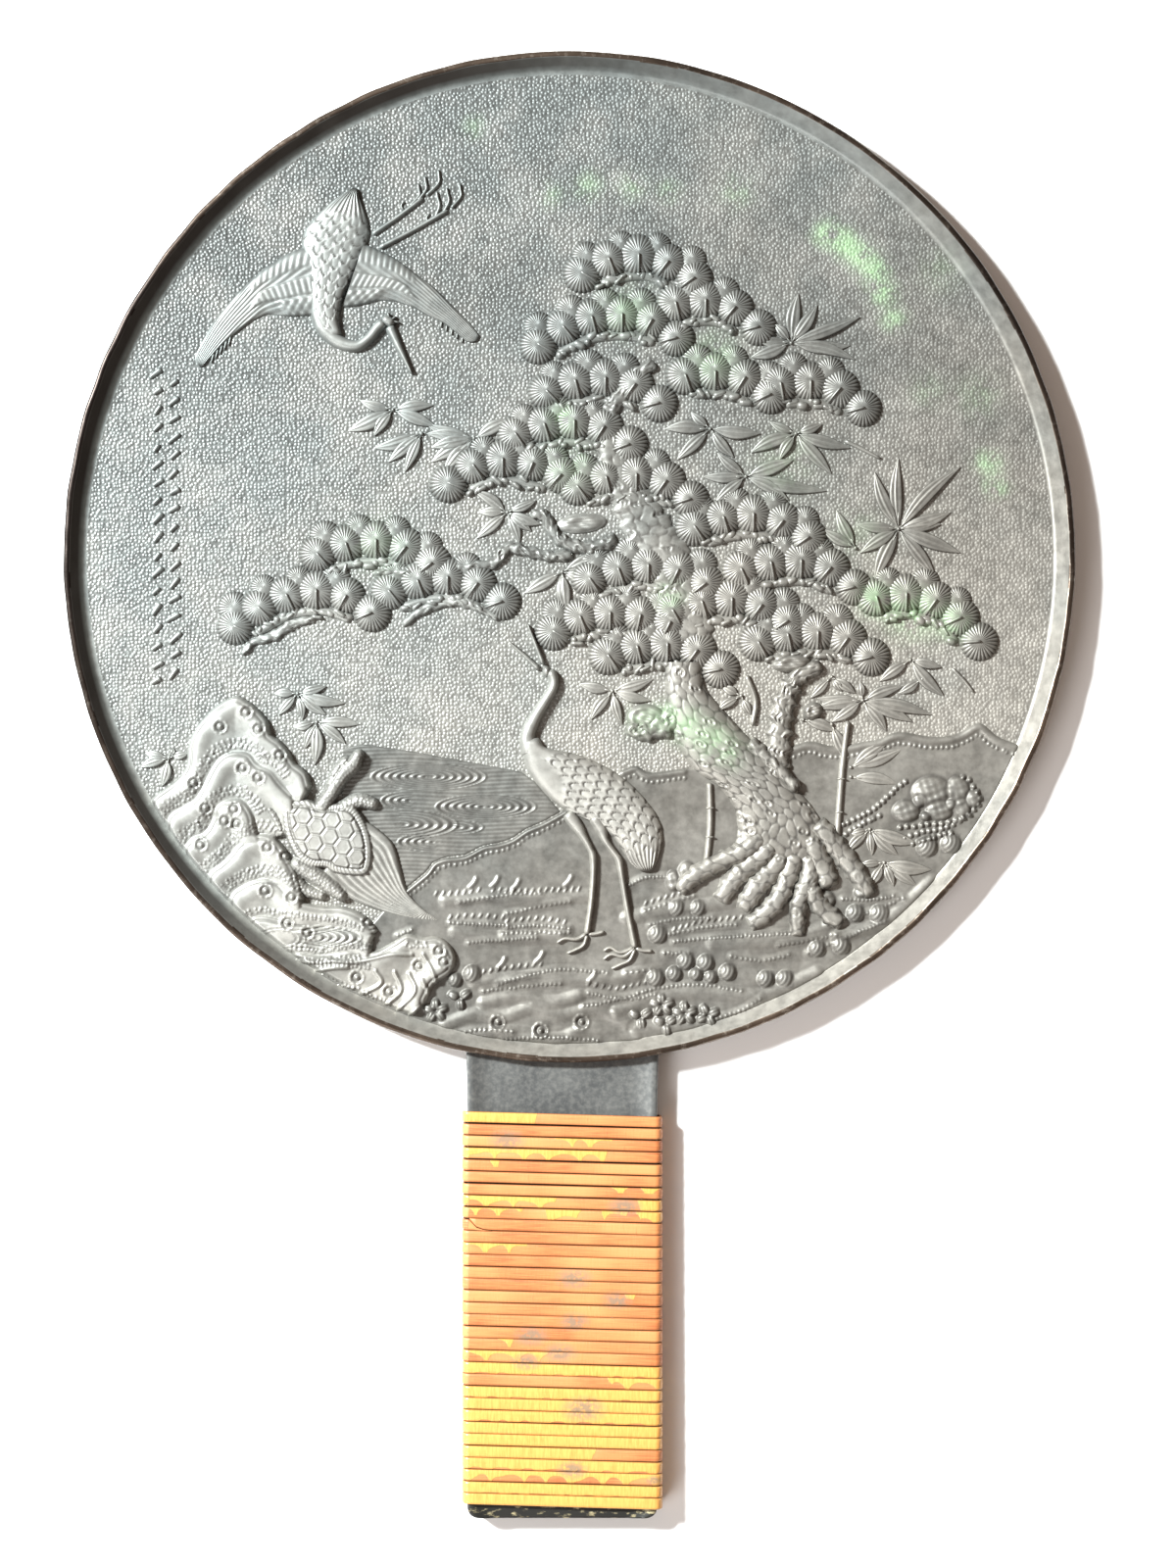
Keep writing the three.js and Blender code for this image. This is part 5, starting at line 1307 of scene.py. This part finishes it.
# The shore and hills, with their beaded borders, grass, ribbed pebbles, flowers and the round stones
def landSurface():
    land = newCanvas(-52, 99, -103, -33, 0.25)
    turn = np.radians(np.linspace(-22.6, -121, 90))
    rim = np.stack([102.2 * np.cos(turn), 102.2 * np.sin(turn)], 1)
    coast = np.vstack([smoothLine(shoreline, 60), smoothLine(hillLine, 80)])
    raiseShape(land, np.vstack([coast, rim, [(-46, -82)]]), lambda x, y,
               d: landZ - groundZ + 0.10 * uneven(x, y, 34, 60) + 0.03 * uneven(x, y, 7, 61), 0.5)
    inset = lambda path, by: smoothLine(path, 60)[:, :2] - normalsOf(smoothLine(path, 60)) * by
    for path, width, rise in ((shoreline, 1.2, 0.42), (hillLine[:4], 1.6, 0.35), (hillLine[5:], 2.0, 0.45)):
        stampRidge(land, inset(path, width * 0.5), width, rise, rows=60)
        stampRows(land, inset(path, width + 0.4), 1.1, (0,), 0.36, 0.30)
    for path in landRidges:
        stampRidge(land, path, 3.4, 0.46)
    for path in landBeads:
        stampRidge(land, path, 2.4, 0.2)
        stampRows(land, path, 0.82, (0,), 0.30, 0.24)
    for path in landBlades:
        line = smoothLine(path, max(3, int(runOf(smoothLine(path, 40))[-1] / 1.25)))[:, :2]
        for reach in (-0.3, 0.2, 0.7):
            stampDots(land, line + np.array([0.34, 0.62]) * reach, 0.27, 0.22)
    for x, y in [(-20, -69.2), (-15.4, -69), (-11, -69.6), (0, -68.8), (-6, -84.8), (-14, -86), (5, -88.8)]:
        stampRidge(land, [(x - 0.9, y), (x, y + 0.9), (x + 0.5, y + 1.9)], 1.3, 0.3, rows=8)
    for x0, y0, radius in pebbles:                    # ribbed in arcs about a place to their left
        w = windowOf(land, [(x0, y0)], radius)
        dx, dy = land["x"][w] - x0, land["y"][w] - y0
        d = np.hypot(dx, dy) / radius
        rib = np.cos(2 * math.pi * np.hypot(dx + 0.8 * radius, dy - 0.35 * radius) / 0.85)
        z = landZ - 0.3 + (1.35 + 0.09 * rib) * np.sqrt(np.clip(1 - d ** 2, 0, 1))
        land["z"][w] = np.where(d < 1, np.maximum(land["z"][w], z), land["z"][w])
        soil = np.where(d < 1, 0.25 - 0.25 * rib, 0.5 * np.exp(-((d - 1.1) / 0.2) ** 2))
        land["dirtAndShade"][w] = np.maximum(land["dirtAndShade"][w], soil)
    for x0, y0, petals in rosettes:
        for k in range(petals):
            a = 6.283 * (k + 0.3) / petals
            centre = (x0 + 1.45 * math.cos(a), y0 + 1.3 * math.sin(a))
            w = windowOf(land, [centre], 1.4)
            dx, dy = land["x"][w] - centre[0], land["y"][w] - centre[1]
            along, across = dx * math.cos(a) + dy * math.sin(a), dy * math.cos(a) - dx * math.sin(a)
            d = np.hypot(along / 1.3, across / 0.85)
            crease = 0.35 * np.exp(-(across / 0.2) ** 2)
            petal = landZ + 1.05 * np.sqrt(np.clip(1 - d ** 2, 0, 1)) - crease
            land["z"][w] = np.where(d < 1, np.maximum(land["z"][w], petal), land["z"][w])
            land["dirtAndShade"][w] = np.maximum(land["dirtAndShade"][w], 0.5 * np.exp(-((d - 1.12) / 0.2) ** 2))
    for x0, y0, a, b in gardenDomes + roundStones:
        w = windowOf(land, [(x0 - a, y0 - b), (x0 + a, y0 + b)], 0.6)
        d = np.hypot((land["x"][w] - x0) / a, (land["y"][w] - y0) / b)
        lumpy = 1.15 + 0.12 * uneven(land["x"][w], land["y"][w], 2.2, 77)
        z = landZ - 0.2 + lumpy * np.clip(1 - d ** 2.6, 0, 1) ** 0.55
        land["z"][w] = np.where(d < 1, np.maximum(land["z"][w], z), land["z"][w])
        land["dirtAndShade"][w] = np.maximum(land["dirtAndShade"][w], 0.6 * np.exp(-((d - 1.02) / 0.14) ** 2))
    for path in [[(57.4, -56), (60.4, -54.6), (64, -52.6), (67.4, -49.6), (70.4, -47)],
                 [(58, -58), (61.4, -56), (65, -54.2)], [(70.4, -58.8), (74, -57.6), (79, -56.6), (84, -54)],
                 [(72, -60), (76, -58.8), (80, -57.8)], [(69.4, -56.6), (75, -56), (82, -54.8), (86, -51.4),
            (84.6, -47.6), (82.6, -46)]]:
        stampRows(land, path, 1.25, (0,), 0.50, 0.55)
    for x, y in [(-15, -97.5), (-6, -99.2), (2.6, -97.4)]:
        stampEye(land, x, y)
    return canvasSurface(land)


# Feathers: U-shaped scales in staggered rows. Within a scale the height climbs with s, the place along it,
# where s = frac(along + 1.1 across^2), and drops at its tip
def feathers(along, across, length, width):
    row = np.floor(across / width)
    b = across / width - row - 0.5
    a = along / length + 0.5 * np.mod(row, 2) - 1.3 * b * b
    s = a - np.floor(a)
    return s ** 1.6 - 0.5 * np.exp(-((s - 0.06) / 0.07) ** 2), np.exp(-((s - 0.05) / 0.10) ** 2) * 0.8


# A bird's body between its belly and back lines: height(t) times (1 - |v|^3.2)^0.5, smooth at the neck,
# then feathered, and ribbed lengthwise at the tail
def featheredBody(back, belly, rows, cols, height, length, width, smoothTo=0.12, tailFrom=0.72, plain=-0.45):
    x, y, t, v, wide = bandGrid(belly, back, rows, cols)
    run = runOf(np.stack([x[:, cols // 2], y[:, cols // 2]], 1))[:, None]
    scale, gap = feathers(run + 0 * v, v * wide / 2 + 40, length, width)
    across = np.cos(2 * math.pi * v * 4.5)
    long, longGap = 0.5 + 0.5 * across, 0.6 * (0.5 - 0.5 * across) ** 2
    tail = softStep(tailFrom, tailFrom + 0.12, t)
    here = softStep(smoothTo, smoothTo + 0.05, t + 0 * v)
    here = here * softStep(plain - 0.1, plain + 0.1, v + 0.9 * softStep(0.25, 0.5, t))
    detail = here * (0.26 * scale * (1 - tail) + 0.24 * long * tail)
    shape = np.clip(1 - np.abs(v) ** 3.2, 0, 1) ** 0.5
    ends = quarterCircle(np.minimum(run / 1.5, run[-1] - run))
    z = groundZ - sunk + (height(t) + sunk) * shape * ends + detail * softStep(0.1, 0.5, shape) * ends
    return surface(x, y, z, dirtAndShade=here * (gap * (1 - tail) + longGap * tail))


# A spread wing: near the body two rows of short ribs, beyond them long quills that run out to the tip
def wing(leading, trailing):
    x, y, t, v, _ = bandGrid(leading, trailing, 130, 46)
    v = -v
    outerRow = softStep(0.50, 0.44, t + 0.10 * v) * softStep(0.36, 0.46, v) * softStep(0.99, 0.94, v)
    innerRow = softStep(0.42, 0.37, t + 0.22 * v) * softStep(-0.42, -0.36, v) * softStep(0.12, 0.06, v)
    speckled = softStep(0.34, 0.28, t - 0.1 * v) * softStep(-0.40, -0.46, v)
    quills = (1 - outerRow) * (1 - innerRow) * (1 - speckled)
    ribs = outerRow * np.cos(2 * math.pi * (t * 23 + v * 1.2))
    ribs = ribs + innerRow * np.cos(2 * math.pi * (t * 24 - v * 1.0))
    lines = quills * np.cos(2 * math.pi * 4.6 * (v - 1.1 * (1 - t) ** 2))
    warts = speckled * np.cos(t * 100) * np.cos(v * 17)
    shape = np.clip(1 - np.abs(v) ** 5, 0, 1) ** 0.5
    body = 1.25 - 0.55 * t + 0.25 * v * (1 - t)
    body = body + 0.25 * np.exp(-((v + 0.9) / 0.12) ** 2) * softStep(0.3, 0.6, t)
    steps = 0.10 * outerRow + 0.30 * innerRow + 0.34 * speckled
    end = quarterCircle((1 - t) / 0.03)
    relief = steps + 0.05 * ribs + 0.07 * lines + 0.11 * warts
    z = groundZ - sunk + (body + sunk) * shape * end + relief * softStep(0.1, 0.5, shape) * end
    wave = 0.5 - 0.5 * (ribs + lines + warts)
    return surface(x, y, z, dirtAndShade=0.45 * np.clip(wave, 0, 1) ** 2 * softStep(0.2, 0.6, shape))


# The flying crane, with two wings, body, neck, beak and trailing legs, and then the standing one
def craneSurfaces():
    made = [wing([(-53, 65.6), (-56.5, 65), (-60.2, 63.3), (-64.5, 60.4), (-68.1, 57.1), (-74, 50.4),
                  (-77.8, 44), (-78.6, 41.6), (-77.5, 39.8)], [(-53, 50.9), (-55.1, 50.6), (-59.3, 50.4),
        (-63.5, 50.8), (-67.7, 48.7), (-71.9, 45.3), (-74.8, 42.4), (-77.2, 39.8)]),
        wing([(-43, 66), (-40.1, 64.7), (-36.7, 63), (-32.1, 59.6), (-27.9, 56.3), (-24.2, 52.5),
              (-20.8, 49.1), (-18.7, 46.2)], [(-47.5, 52.4), (-44.7, 52.7), (-39.2, 53.8), (-34.2, 52.9),
        (-30, 50.8), (-25.8, 48.7), (-21.6, 45.3), (-19, 45.6)])]
    made.append(featheredBody([(-47.6, 46.4), (-48.2, 50.5), (-47, 55), (-44.6, 60), (-42.4, 65), (-41.8, 69),
        (-42.8, 72.5), (-44, 75.5), (-44.5, 77.6)], [(-49.6, 45.6), (-53.6, 49.6), (-54.9, 55), (-55.2, 60),
        (-56.3, 65), (-55.5, 69), (-53, 72), (-49.5, 75), (-45.2, 77.6)], 100, 46, lambda t: 2.0 - 0.6 * t,
        2.7, 1.9, smoothTo=0.04, plain=-0.75))
    made.append(cord([(-51.6, 55.5, 4.8), (-52.2, 51.5, 4.6), (-51.6, 48.4, 3.9), (-49.4, 45.9, 3.3),
                      (-46.7, 44.6, 2.9), (-44.2, 44.5, 2.6), (-42, 46, 2.4), (-40.2, 48.2, 2.5),
                      (-38.6, 49.6, 2.6)], 1.8, rows=60, cols=11, tip=1.0))
    made.append(cord([(-39.4, 50.2, 2.6), (-36.6, 48.8, 2.2)], 1.9, rows=12, cols=9, tip=1.1))
    made.append(cord([(-37.9, 48.8, 2.6), (-35.7, 44, 1.8), (-32.9, 38.2, 0.5)], 1.5, rows=20, cols=7,
                     tip=0.5))
    for x, y in ((-36.2, 50.6), (-35.4, 49.2), (-38.2, 51.6)):
        made.append(cord([(-37.6, 49.6, 0.7), (x, y, 0.5)], 1.2, rows=6, cols=5, tip=0.3))
    toes = {((-41.6, 67.6), (-30.5, 75.6)): [(-27.6, 81.6), (-30.4, 80.2), (-31.8, 78.6)],
            ((-40.2, 64.8), (-25.2, 73)): [(-23.1, 78.6), (-25.8, 77.8), (-27.9, 77)]}
    for (hip, ankle), tips in toes.items():
        made.append(cord([(*hip, 1.3), ((hip[0] + ankle[0]) / 2, (hip[1] + ankle[1]) / 2 - 0.2, 1.1),
                          (*ankle, 1.1)], 0.9, rows=24))
        for number, (tx, ty) in enumerate(tips):
            x, y = ankle[0] + 0.3 - 1.7 * number, ankle[1] + 0.2 - 1.1 * number
            made.append(cord([(x, y, 0.9), (x + 0.75 * (tx - x) + 0.7, y + 0.45 * (ty - y), 0.8),
                              (tx + 0.2, ty - 1.4, 0.8), (tx, ty, 0.6)], 0.7, rows=18, cols=5, tip=0.4))
        x, y = ankle[0] - 4.2, ankle[1] - 2.9
        made.append(cord([(x, y, 0.8), (x - 0.6, y + 1.1, 0.6), (x + 0.2, y + 2.2, 0.4)], 0.6, rows=9, cols=5,
                         tip=0.4))
    for k in range(5):                                # the short quills at the tips of both wings
        made.append(cord([(-74.6 + 0.9 * k, 43 + 0.9 * k, 0.6), (-75.2 + 0.9 * k, 40.6 + 0.9 * k, 0.4)], 0.55,
                         rows=8, cols=5, tip=0.3))
        made.append(cord([(-22.4 - 1.1 * k, 46.4 + 0.8 * k, 0.6), (-22.6 - 1.1 * k, 44.9 + 0.8 * k, 0.4)],
                         0.55, rows=8, cols=5, tip=0.3))
    made.append(featheredBody([(-6.4, -37.6), (-5.2, -39.6), (-3, -40.3), (1.5, -41.2), (7, -43.4),
        (12, -46.5), (16, -50.5), (19, -55), (19.7, -59), (18.8, -63), (17.4, -65.8)],
        [(-9.8, -37.6), (-9.9, -40), (-9.2, -44), (-7.4, -47), (-4.4, -50.4), (-0.9, -53.2), (3.4, -55.2),
         (7.2, -57.2), (10, -60), (12.4, -64), (15.2, -66)], 130, 60, lambda t: 2.3 - 0.5 * t, 2.7, 1.9,
        smoothTo=0.13, tailFrom=0.80, plain=-0.1))
    made.append(cord([(-7.8, -41.4, 4.8), (-8.8, -37.8, 3.6), (-7.4, -34, 3.0), (-5.1, -30.2, 2.6),
                      (-3.4, -27.2, 2.4), (-3.5, -24.9, 2.4), (-4.6, -23.8, 2.4)], 2.1, rows=60, cols=11,
                     tip=1.0))
    made.append(cord([(-5.8, -24, 2.6), (-3.8, -23.8, 2.8)], 2.1, rows=12, cols=9, tip=1.2))
    made.append(cord([(-5.4, -22.6, 1.3), (-7.2, -18, 1.0), (-8.8, -13.8, 0.4)], 1.5, rows=18, cols=7,
                     tip=0.5))
    made.append(cord([(-6.2, -23.6, 1.3), (-9.6, -20.4, 1.0), (-13, -17.4, 0.4)], 1.4, rows=18, cols=7,
                     tip=0.5))
    legs = [[(-0.6, -53.4, 3.2), (1.4, -56, 3.0), (3, -58.6, 1.9), (4.4, -61.2, 1.5), (4.9, -62.6, 1.8),
             (5, -66, 1.35), (4.6, -72, 1.35), (3.6, -79.2, 1.4)],
            [(5, -54, 3.2), (6.6, -56.8, 2.9), (7.6, -59.4, 1.8), (9.6, -62.2, 1.5), (10.4, -63.6, 1.8),
             (11, -67, 1.4), (12.1, -73.6, 1.4), (13.8, -82, 1.5)]]
    for path in legs:
        made.append(cord(path, 1.75, rows=90, cols=9, tip=0.9))
    for path in [[(3.7, -78.8), (1.6, -80), (-1, -79.9), (-2.8, -80.9)],
                 [(3.7, -79), (3, -81.2), (1.2, -82.3), (-0.6, -83)],
                 [(3.8, -78.9), (5.4, -78.9), (7.4, -78.4)], [(13.8, -81.8), (11.4, -83.6), (8.8, -83.2),
            (7, -84.4)], [(13.8, -82), (12.6, -84.4), (10.6, -85.4), (8.7, -86.3)],
            [(13.6, -81.8), (10.8, -82.8), (8.6, -81.8), (7, -82.6)],
            [(13.8, -81.8), (15.4, -82.4), (17.5, -82.5)]]:
        made.append(cord([(x, y, 1.1 - 0.15 * k) for k, (x, y) in enumerate(path)], 0.95, rows=22, cols=7,
                         tip=0.6, base=landZ))
    return made


strokeValues = {"x": -84.8, "top": 38.5, "pitch": 1.9, "strokes": 35, "side": 1.9, "length": 3.5,
                "width": 1.35, "height": 0.7}


# The marks beside the flying crane: short strokes that lean the same way, now left and now right of one line
def strokeSurfaces():
    values = strokeValues
    rng = np.random.default_rng(8)
    made = []
    for number in range(values["strokes"]):
        a = math.radians(rng.uniform(28, 58))
        x = values["x"] + values["side"] * (1 if number % 2 else -1) * rng.uniform(0.8, 1.1)
        y = values["top"] - (number + rng.uniform(-0.2, 0.2)) * values["pitch"]
        half = values["length"] / 2 * rng.uniform(0.65, 1.1)
        ends = [(x - math.cos(a) * half, y - math.sin(a) * half, values["width"] * 0.7),
                (x + math.cos(a) * half, y + math.sin(a) * half, values["width"] * rng.uniform(0.9, 1.3))]
        made.append(cord(ends, values["height"], rows=14, cols=7, tip=0.5))
    return made


# 0 punched ground, 1 the wall inside the rim, 2 the polished face, 3 the rim's top and edge
def discMaterial(centres):
    r = np.hypot(centres[:, 0], centres[:, 1])
    inner = discValues["radius"] - discValues["rimWidth"]
    fillet = inner - discValues["wall"] - discValues["fillet"]
    return np.where(centres[:, 2] < 0.3, 2, np.where(r > inner + 0.02, 3, np.where(r > fillet, 1, 0)))


makePiece("mirror_body", [discSurface(discValues)], [punchedBronze, wallBronze, polishedFace, rimBronze],
          "bronze", "mirror_casting", materialOf=discMaterial, recalculate=True)
makePiece("handle_plate", [handleSurface(handleValues)], [handleBronze], "bronze", "mirror_casting",
          recalculate=True, sharp=50)
fronts, backs, stems, twigs = pineSurfaces()
for name, surfaces, bronze in (("pine_needles", fronts + stems, needleBronze),
        ("pine_back_needles", backs, needleBronze), ("pine_wood", trunkSurfaces() + stubSurfaces() + twigs,
        barkBronze), ("bamboo_sprays", bambooSurfaces() + stalkSurfaces(), castBronze),
        ("cranes", craneSurfaces(), castBronze), ("tortoise", [tortoiseSurface()], castBronze),
        ("rocks", [rockSurface()], castBronze), ("water", [waterSurface()], smoothBronze),
        ("shore_and_hills", [landSurface()], smoothBronze), ("side_strokes", strokeSurfaces(), castBronze)):
    makePiece(name, surfaces, [bronze], "bronze", "mirror_casting")


bindingValues = {
    "middle": -1.5, "half": 20.3, "low": -0.28, "high": 4.06, "corner": 0.9, "pitch": 2.5, "width": 2.46,
    "thick": 0.72, "stepsPerTurn": 84, "upperTop": -115.9, "upperTurns": 9, "lowerTop": -138.4,
    "lowerTurns": 24, "taper": 4.5}
# where the skin is left on the front: the turn, from x to x, and the share (above 1.6 the whole width)
upperSkin = [
    (0, -23, -6.5, 1.7), (2, -4, 9, 0.75), (3, -23, 8.5, 1.0), (4, -17, -14, 0.6), (6, 6, 20, 0.5),
    (7, -23, -2, 1.02), (7, 13.5, 20, 1.3), (8, -22, -9, 0.7), (8, -5.5, 1.5, 1.2), (8, 6.5, 12, 0.9),
    (8, 14, 20, 1.2)]
lowerSkin = [
    (2, -22, -8, 0.8), (6, 11.5, 14.5, 1.0), (10, -15, -11, 0.7), (11, -22, -4, 0.85), (12, -23, 20, 1.45),
    (13, 8, 20, 1.0), (14, -23, 20, 1.45), (15, -23, 20, 1.6), (16, -23, 20, 1.42), (17, -23, 20, 1.7),
    (18, -23, 20, 1.7), (19, -23, 5.5, 1.7), (20, -23, 20, 1.4), (21, -23, 20, 1.0), (22, -23, 20, 1.5),
    (23, -23, 20, 1.7)]


# A strand wound round the handle: its middle runs on a rounded oblong and falls by one pitch each turn; its
# section is flat underneath and swells by (1 - v^8)^0.5 on top. Both ends can run out in a quarter-circle
# taper.
def strandSurface(top, turns, values, skinRuns, startTurn=0.0, seed=1, taperStart=False, taperEnd=False):
    steps = values["stepsPerTurn"]
    half, corner = values["half"], values["corner"]
    low, high = values["low"], values["high"]
    flat = 2 * (half - corner)
    side = (high - low) - 2 * corner
    quarter = math.pi / 2 * corner
    whole = 2 * flat + 2 * side + 4 * quarter
    s = np.linspace(0, 1, steps, endpoint=False)
    # more places at the four bends than along the flats
    knots = [0, flat, flat + quarter, flat + quarter + side, flat + 2 * quarter + side,
             2 * flat + 2 * quarter + side, 2 * flat + 3 * quarter + side, 2 * flat + 3 * quarter + 2 * side,
             whole]
    share = np.cumsum([0, 26, 8, 3, 8, 20, 8, 3, 8]) / 84
    at = np.interp(s, share, knots)

    # place and outward angle at a length round the handle: four straights and four quarter turns
    def loop(at):
        angle = np.zeros_like(at)
        px, pz = np.zeros_like(at), np.zeros_like(at)
        cx = [half - corner, half - corner, -half + corner, -half + corner]
        cz = [high - corner, low + corner, low + corner, high - corner]
        for k in range(4):
            a0, a1 = knots[2 * k], knots[2 * k + 1]
            on = (at >= a0) & (at <= a1)
            f = (at - a0) / (a1 - a0)
            straight = [(-half + corner + f * flat, high + 0 * f), (half + 0 * f, high - corner - f * side),
                        (half - corner - f * flat, low + 0 * f), (-half + 0 * f, low + corner + f * side)][k]
            facing = math.pi / 2 - k * math.pi / 2
            px, pz = np.where(on, straight[0], px), np.where(on, straight[1], pz)
            angle = np.where(on, facing, angle)
            b1 = knots[2 * k + 2]
            on = (at > a1) & (at <= b1)
            g = facing - (at - a1) / (b1 - a1) * math.pi / 2
            px = np.where(on, cx[k] + corner * np.cos(g), px)
            pz = np.where(on, cz[k] + corner * np.sin(g), pz)
            angle = np.where(on, g, angle)
        return px, pz, angle

    count = int(round(turns * steps)) + 1
    number = np.arange(count) + int(round(startTurn * steps))
    phase = at[number % steps]
    px, pz, angle = loop(phase)
    along = (number // steps) * whole + phase
    fall = np.maximum(along, 0) / whole
    v = np.array([-1, -0.97, -0.86, -0.6, -0.3, 0, 0.3, 0.6, 0.86, 0.97, 1])
    swell = values["thick"] * (0.35 + 0.65 * np.clip(1 - np.abs(v) ** 8, 0, 1) ** 0.5)
    section = np.concatenate([v, [0.9, -0.9]])
    out = np.concatenate([swell, [0.04, 0.04]])
    drawn = section[None] + 0 * along[:, None]
    curve = lambda run: np.sqrt(np.clip(1 - (1 - np.clip(run / values["taper"], 0, 1)) ** 2, 0.004, 1))[:,
        None]
    if taperStart:
        drawn = -1 + (1 + drawn) * curve(along)
    if taperEnd:
        drawn = 1 - (1 - drawn) * np.clip(1 - curve(along - (along[-1] - values["taper"])), 0.06, 0.999)
    y = top - values["width"] / 2 - fall[:, None] * values["pitch"] - drawn * values["width"] / 2
    y = y + 0.05 * np.sin(along[:, None] * 0.043 + seed)
    lift = out[None] * (1 + 0.05 * np.sin(along[:, None] * 0.11 + seed))
    x = values["middle"] + px[:, None] + np.cos(angle)[:, None] * lift
    z = pz[:, None] + np.sin(angle)[:, None] * lift
    # both ends are closed by drawing the section together
    x = np.vstack([x[:1].mean() + 0 * x[:1], x, x[-1:].mean() + 0 * x[:1]])
    z = np.vstack([z[:1].mean() + 0 * z[:1], z, z[-1:].mean() + 0 * z[:1]])
    y = np.vstack([y[:1].mean() + 0 * y[:1], y, y[-1:].mean() + 0 * y[:1]])
    groove = np.concatenate([np.clip((np.abs(v) - 0.84) / 0.13, 0, 1), [1, 1]])[None] * 0.8
    # the skin: runs given for the front, chance everywhere else, more of it towards the handle's end
    seen = (number + 10) // steps
    chance = uneven(along, seen * 17.0, 21, seed + 4)
    left = np.where(chance > np.where(seen > 11, -0.4, 0.35), 1.3, -0.5)
    onFront = pz > 1.5
    left = np.where(onFront, -0.5, left)
    for turnSeen, fromX, toX, share in skinRuns:
        within = (values["middle"] + px >= fromX) & (values["middle"] + px <= toX)
        left = np.where(onFront & (seen == turnSeen) & within, share, left)
    left = np.concatenate([left[:1], left, left[-1:]])[:, None]
    u = np.concatenate([along[:1], along, along[-1:]])[:, None]
    turn = np.concatenate([number[:1], number, number[-1:]])[:, None] // steps + 40 * seed
    across = np.concatenate([0.5 + 0.48 * v, [0.98, 0.02]])[None]
    return surface(x, y, z, wrap=True, dirtAndShade=groove + 0 * x, u=u, v=turn + across, skin=left, faceUp=False)


# the upper strand starts near the handle's left edge and runs out on the front, where the lower one starts
values = bindingValues
upperStrand = strandSurface(values["upperTop"], values["upperTurns"] + 0.158, values, upperSkin, -0.12, 1,
    taperEnd=True)
lowerStrand = strandSurface(values["lowerTop"], values["lowerTurns"] - 0.4, values, lowerSkin, 0.0, 2,
    taperStart=True)
makePiece("upper_binding_strand", [upperStrand], [splitRattan], "rattan", "upper_binding", recalculate=True)
makePiece("lower_binding_strand", [lowerStrand], [splitRattan], "rattan", "lower_binding", recalculate=True)


# the mirror lies on the disc's far edge and on the binding's first turn, 1.05 mm below the face and 222 mm
# away, so the floor leans by that much against the polished face
stageValues = {
    "floorSize": 3.0, "floorPlaces": 9, "farEdge": 106, "tilt": math.atan2(1.05, 222.0), "gap": 0.02,
    "keyEnergy": 44.0, "keyPlace": (-0.68, 0.34, 0.68), "keySize": 0.13, "keyColour": (0.96, 1.0, 1.0),
    "fillEnergy": 4.5, "fillPlace": (-0.45, -0.62, 0.50), "fillSize": 0.45, "worldStrength": 0.33,
    "worldColour": (1.0, 0.80, 0.67, 1), "cameraHeight": 0.604, "reliefHeight": 0.004, "sensor": 36.0,
    "frameHeight": 0.3285, "aimX": 0.0039, "aimY": -0.0475}


# The floor: a plane z = (y - far edge) tan(tilt), a hair below the mirror
def floorSurface(values):
    half = values["floorSize"] / 2 / mm
    line = np.linspace(-half, half, values["floorPlaces"])
    x, y = np.meshgrid(line, line)
    z = (y - values["farEdge"]) * math.tan(values["tilt"]) - values["gap"]
    return x, y, z


# The floor, the key and fill lights, the even world light, and the camera that looks straight down
def makeStage():
    values = stageValues
    x, y, z = floorSurface(values)
    mesh = bpy.data.meshes.new("floor")
    quads = gridQuads(np.arange(x.size).reshape(x.shape))
    mesh.from_pydata((np.stack([x, y, z], -1).reshape(-1, 3) * mm).tolist(), [], quads.tolist())
    floor = bpy.data.objects.new("floor", mesh)
    bpy.context.scene.collection.objects.link(floor)
    material, tree, shader, vector = newMaterial("paleFloor")
    tone = rampBetween(tree, noiseOf(tree, vector, 6.0), 0.3, 0.7, 0.90, 0.94)
    tree.links.new(shadeBy(tree, (1.0, 1.0, 1.0), tone), shader.inputs["Base Color"])
    shader.inputs["Roughness"].default_value = 0.9
    mesh.materials.append(material)

    def areaLight(name, place, aim, width, height, energy, colour):
        light = bpy.data.lights.new(name, "AREA")
        light.shape, light.size, light.size_y = "RECTANGLE", width, height
        light.energy, light.color = energy, colour
        lamp = bpy.data.objects.new(name, light)
        bpy.context.scene.collection.objects.link(lamp)
        lamp.location = place
        away = np.array(place) - np.array(aim)
        away = away / np.linalg.norm(away)
        lamp.rotation_euler = (math.acos(away[2]), 0, math.atan2(away[1], away[0]) + math.pi / 2)
        return lamp

    areaLight("key", values["keyPlace"], (0.0, 0.0, 0.0), values["keySize"], values["keySize"],
              values["keyEnergy"], values["keyColour"])
    areaLight("fill", values["fillPlace"], (0.0, 0.0, 0.0), values["fillSize"], values["fillSize"],
              values["fillEnergy"], (1.0, 1.0, 1.0))
    world = bpy.data.worlds.new("studio")
    world.use_nodes = True
    world.node_tree.nodes["Background"].inputs[0].default_value = values["worldColour"]
    world.node_tree.nodes["Background"].inputs[1].default_value = values["worldStrength"]
    bpy.context.scene.world = world
    bpy.context.scene.view_settings.view_transform = "Standard"
    data = bpy.data.cameras.new("camera")
    data.sensor_fit = "VERTICAL"
    data.sensor_height = values["sensor"]
    data.lens = values["sensor"] * (values["cameraHeight"] - values["reliefHeight"]) / values["frameHeight"]
    data.clip_start, data.clip_end = 0.01, 10.0
    camera = bpy.data.objects.new("camera", data)
    camera.location = (values["aimX"], values["aimY"], values["cameraHeight"])
    bpy.context.scene.collection.objects.link(camera)
    bpy.context.scene.camera = camera


makeStage()
print("stage made")
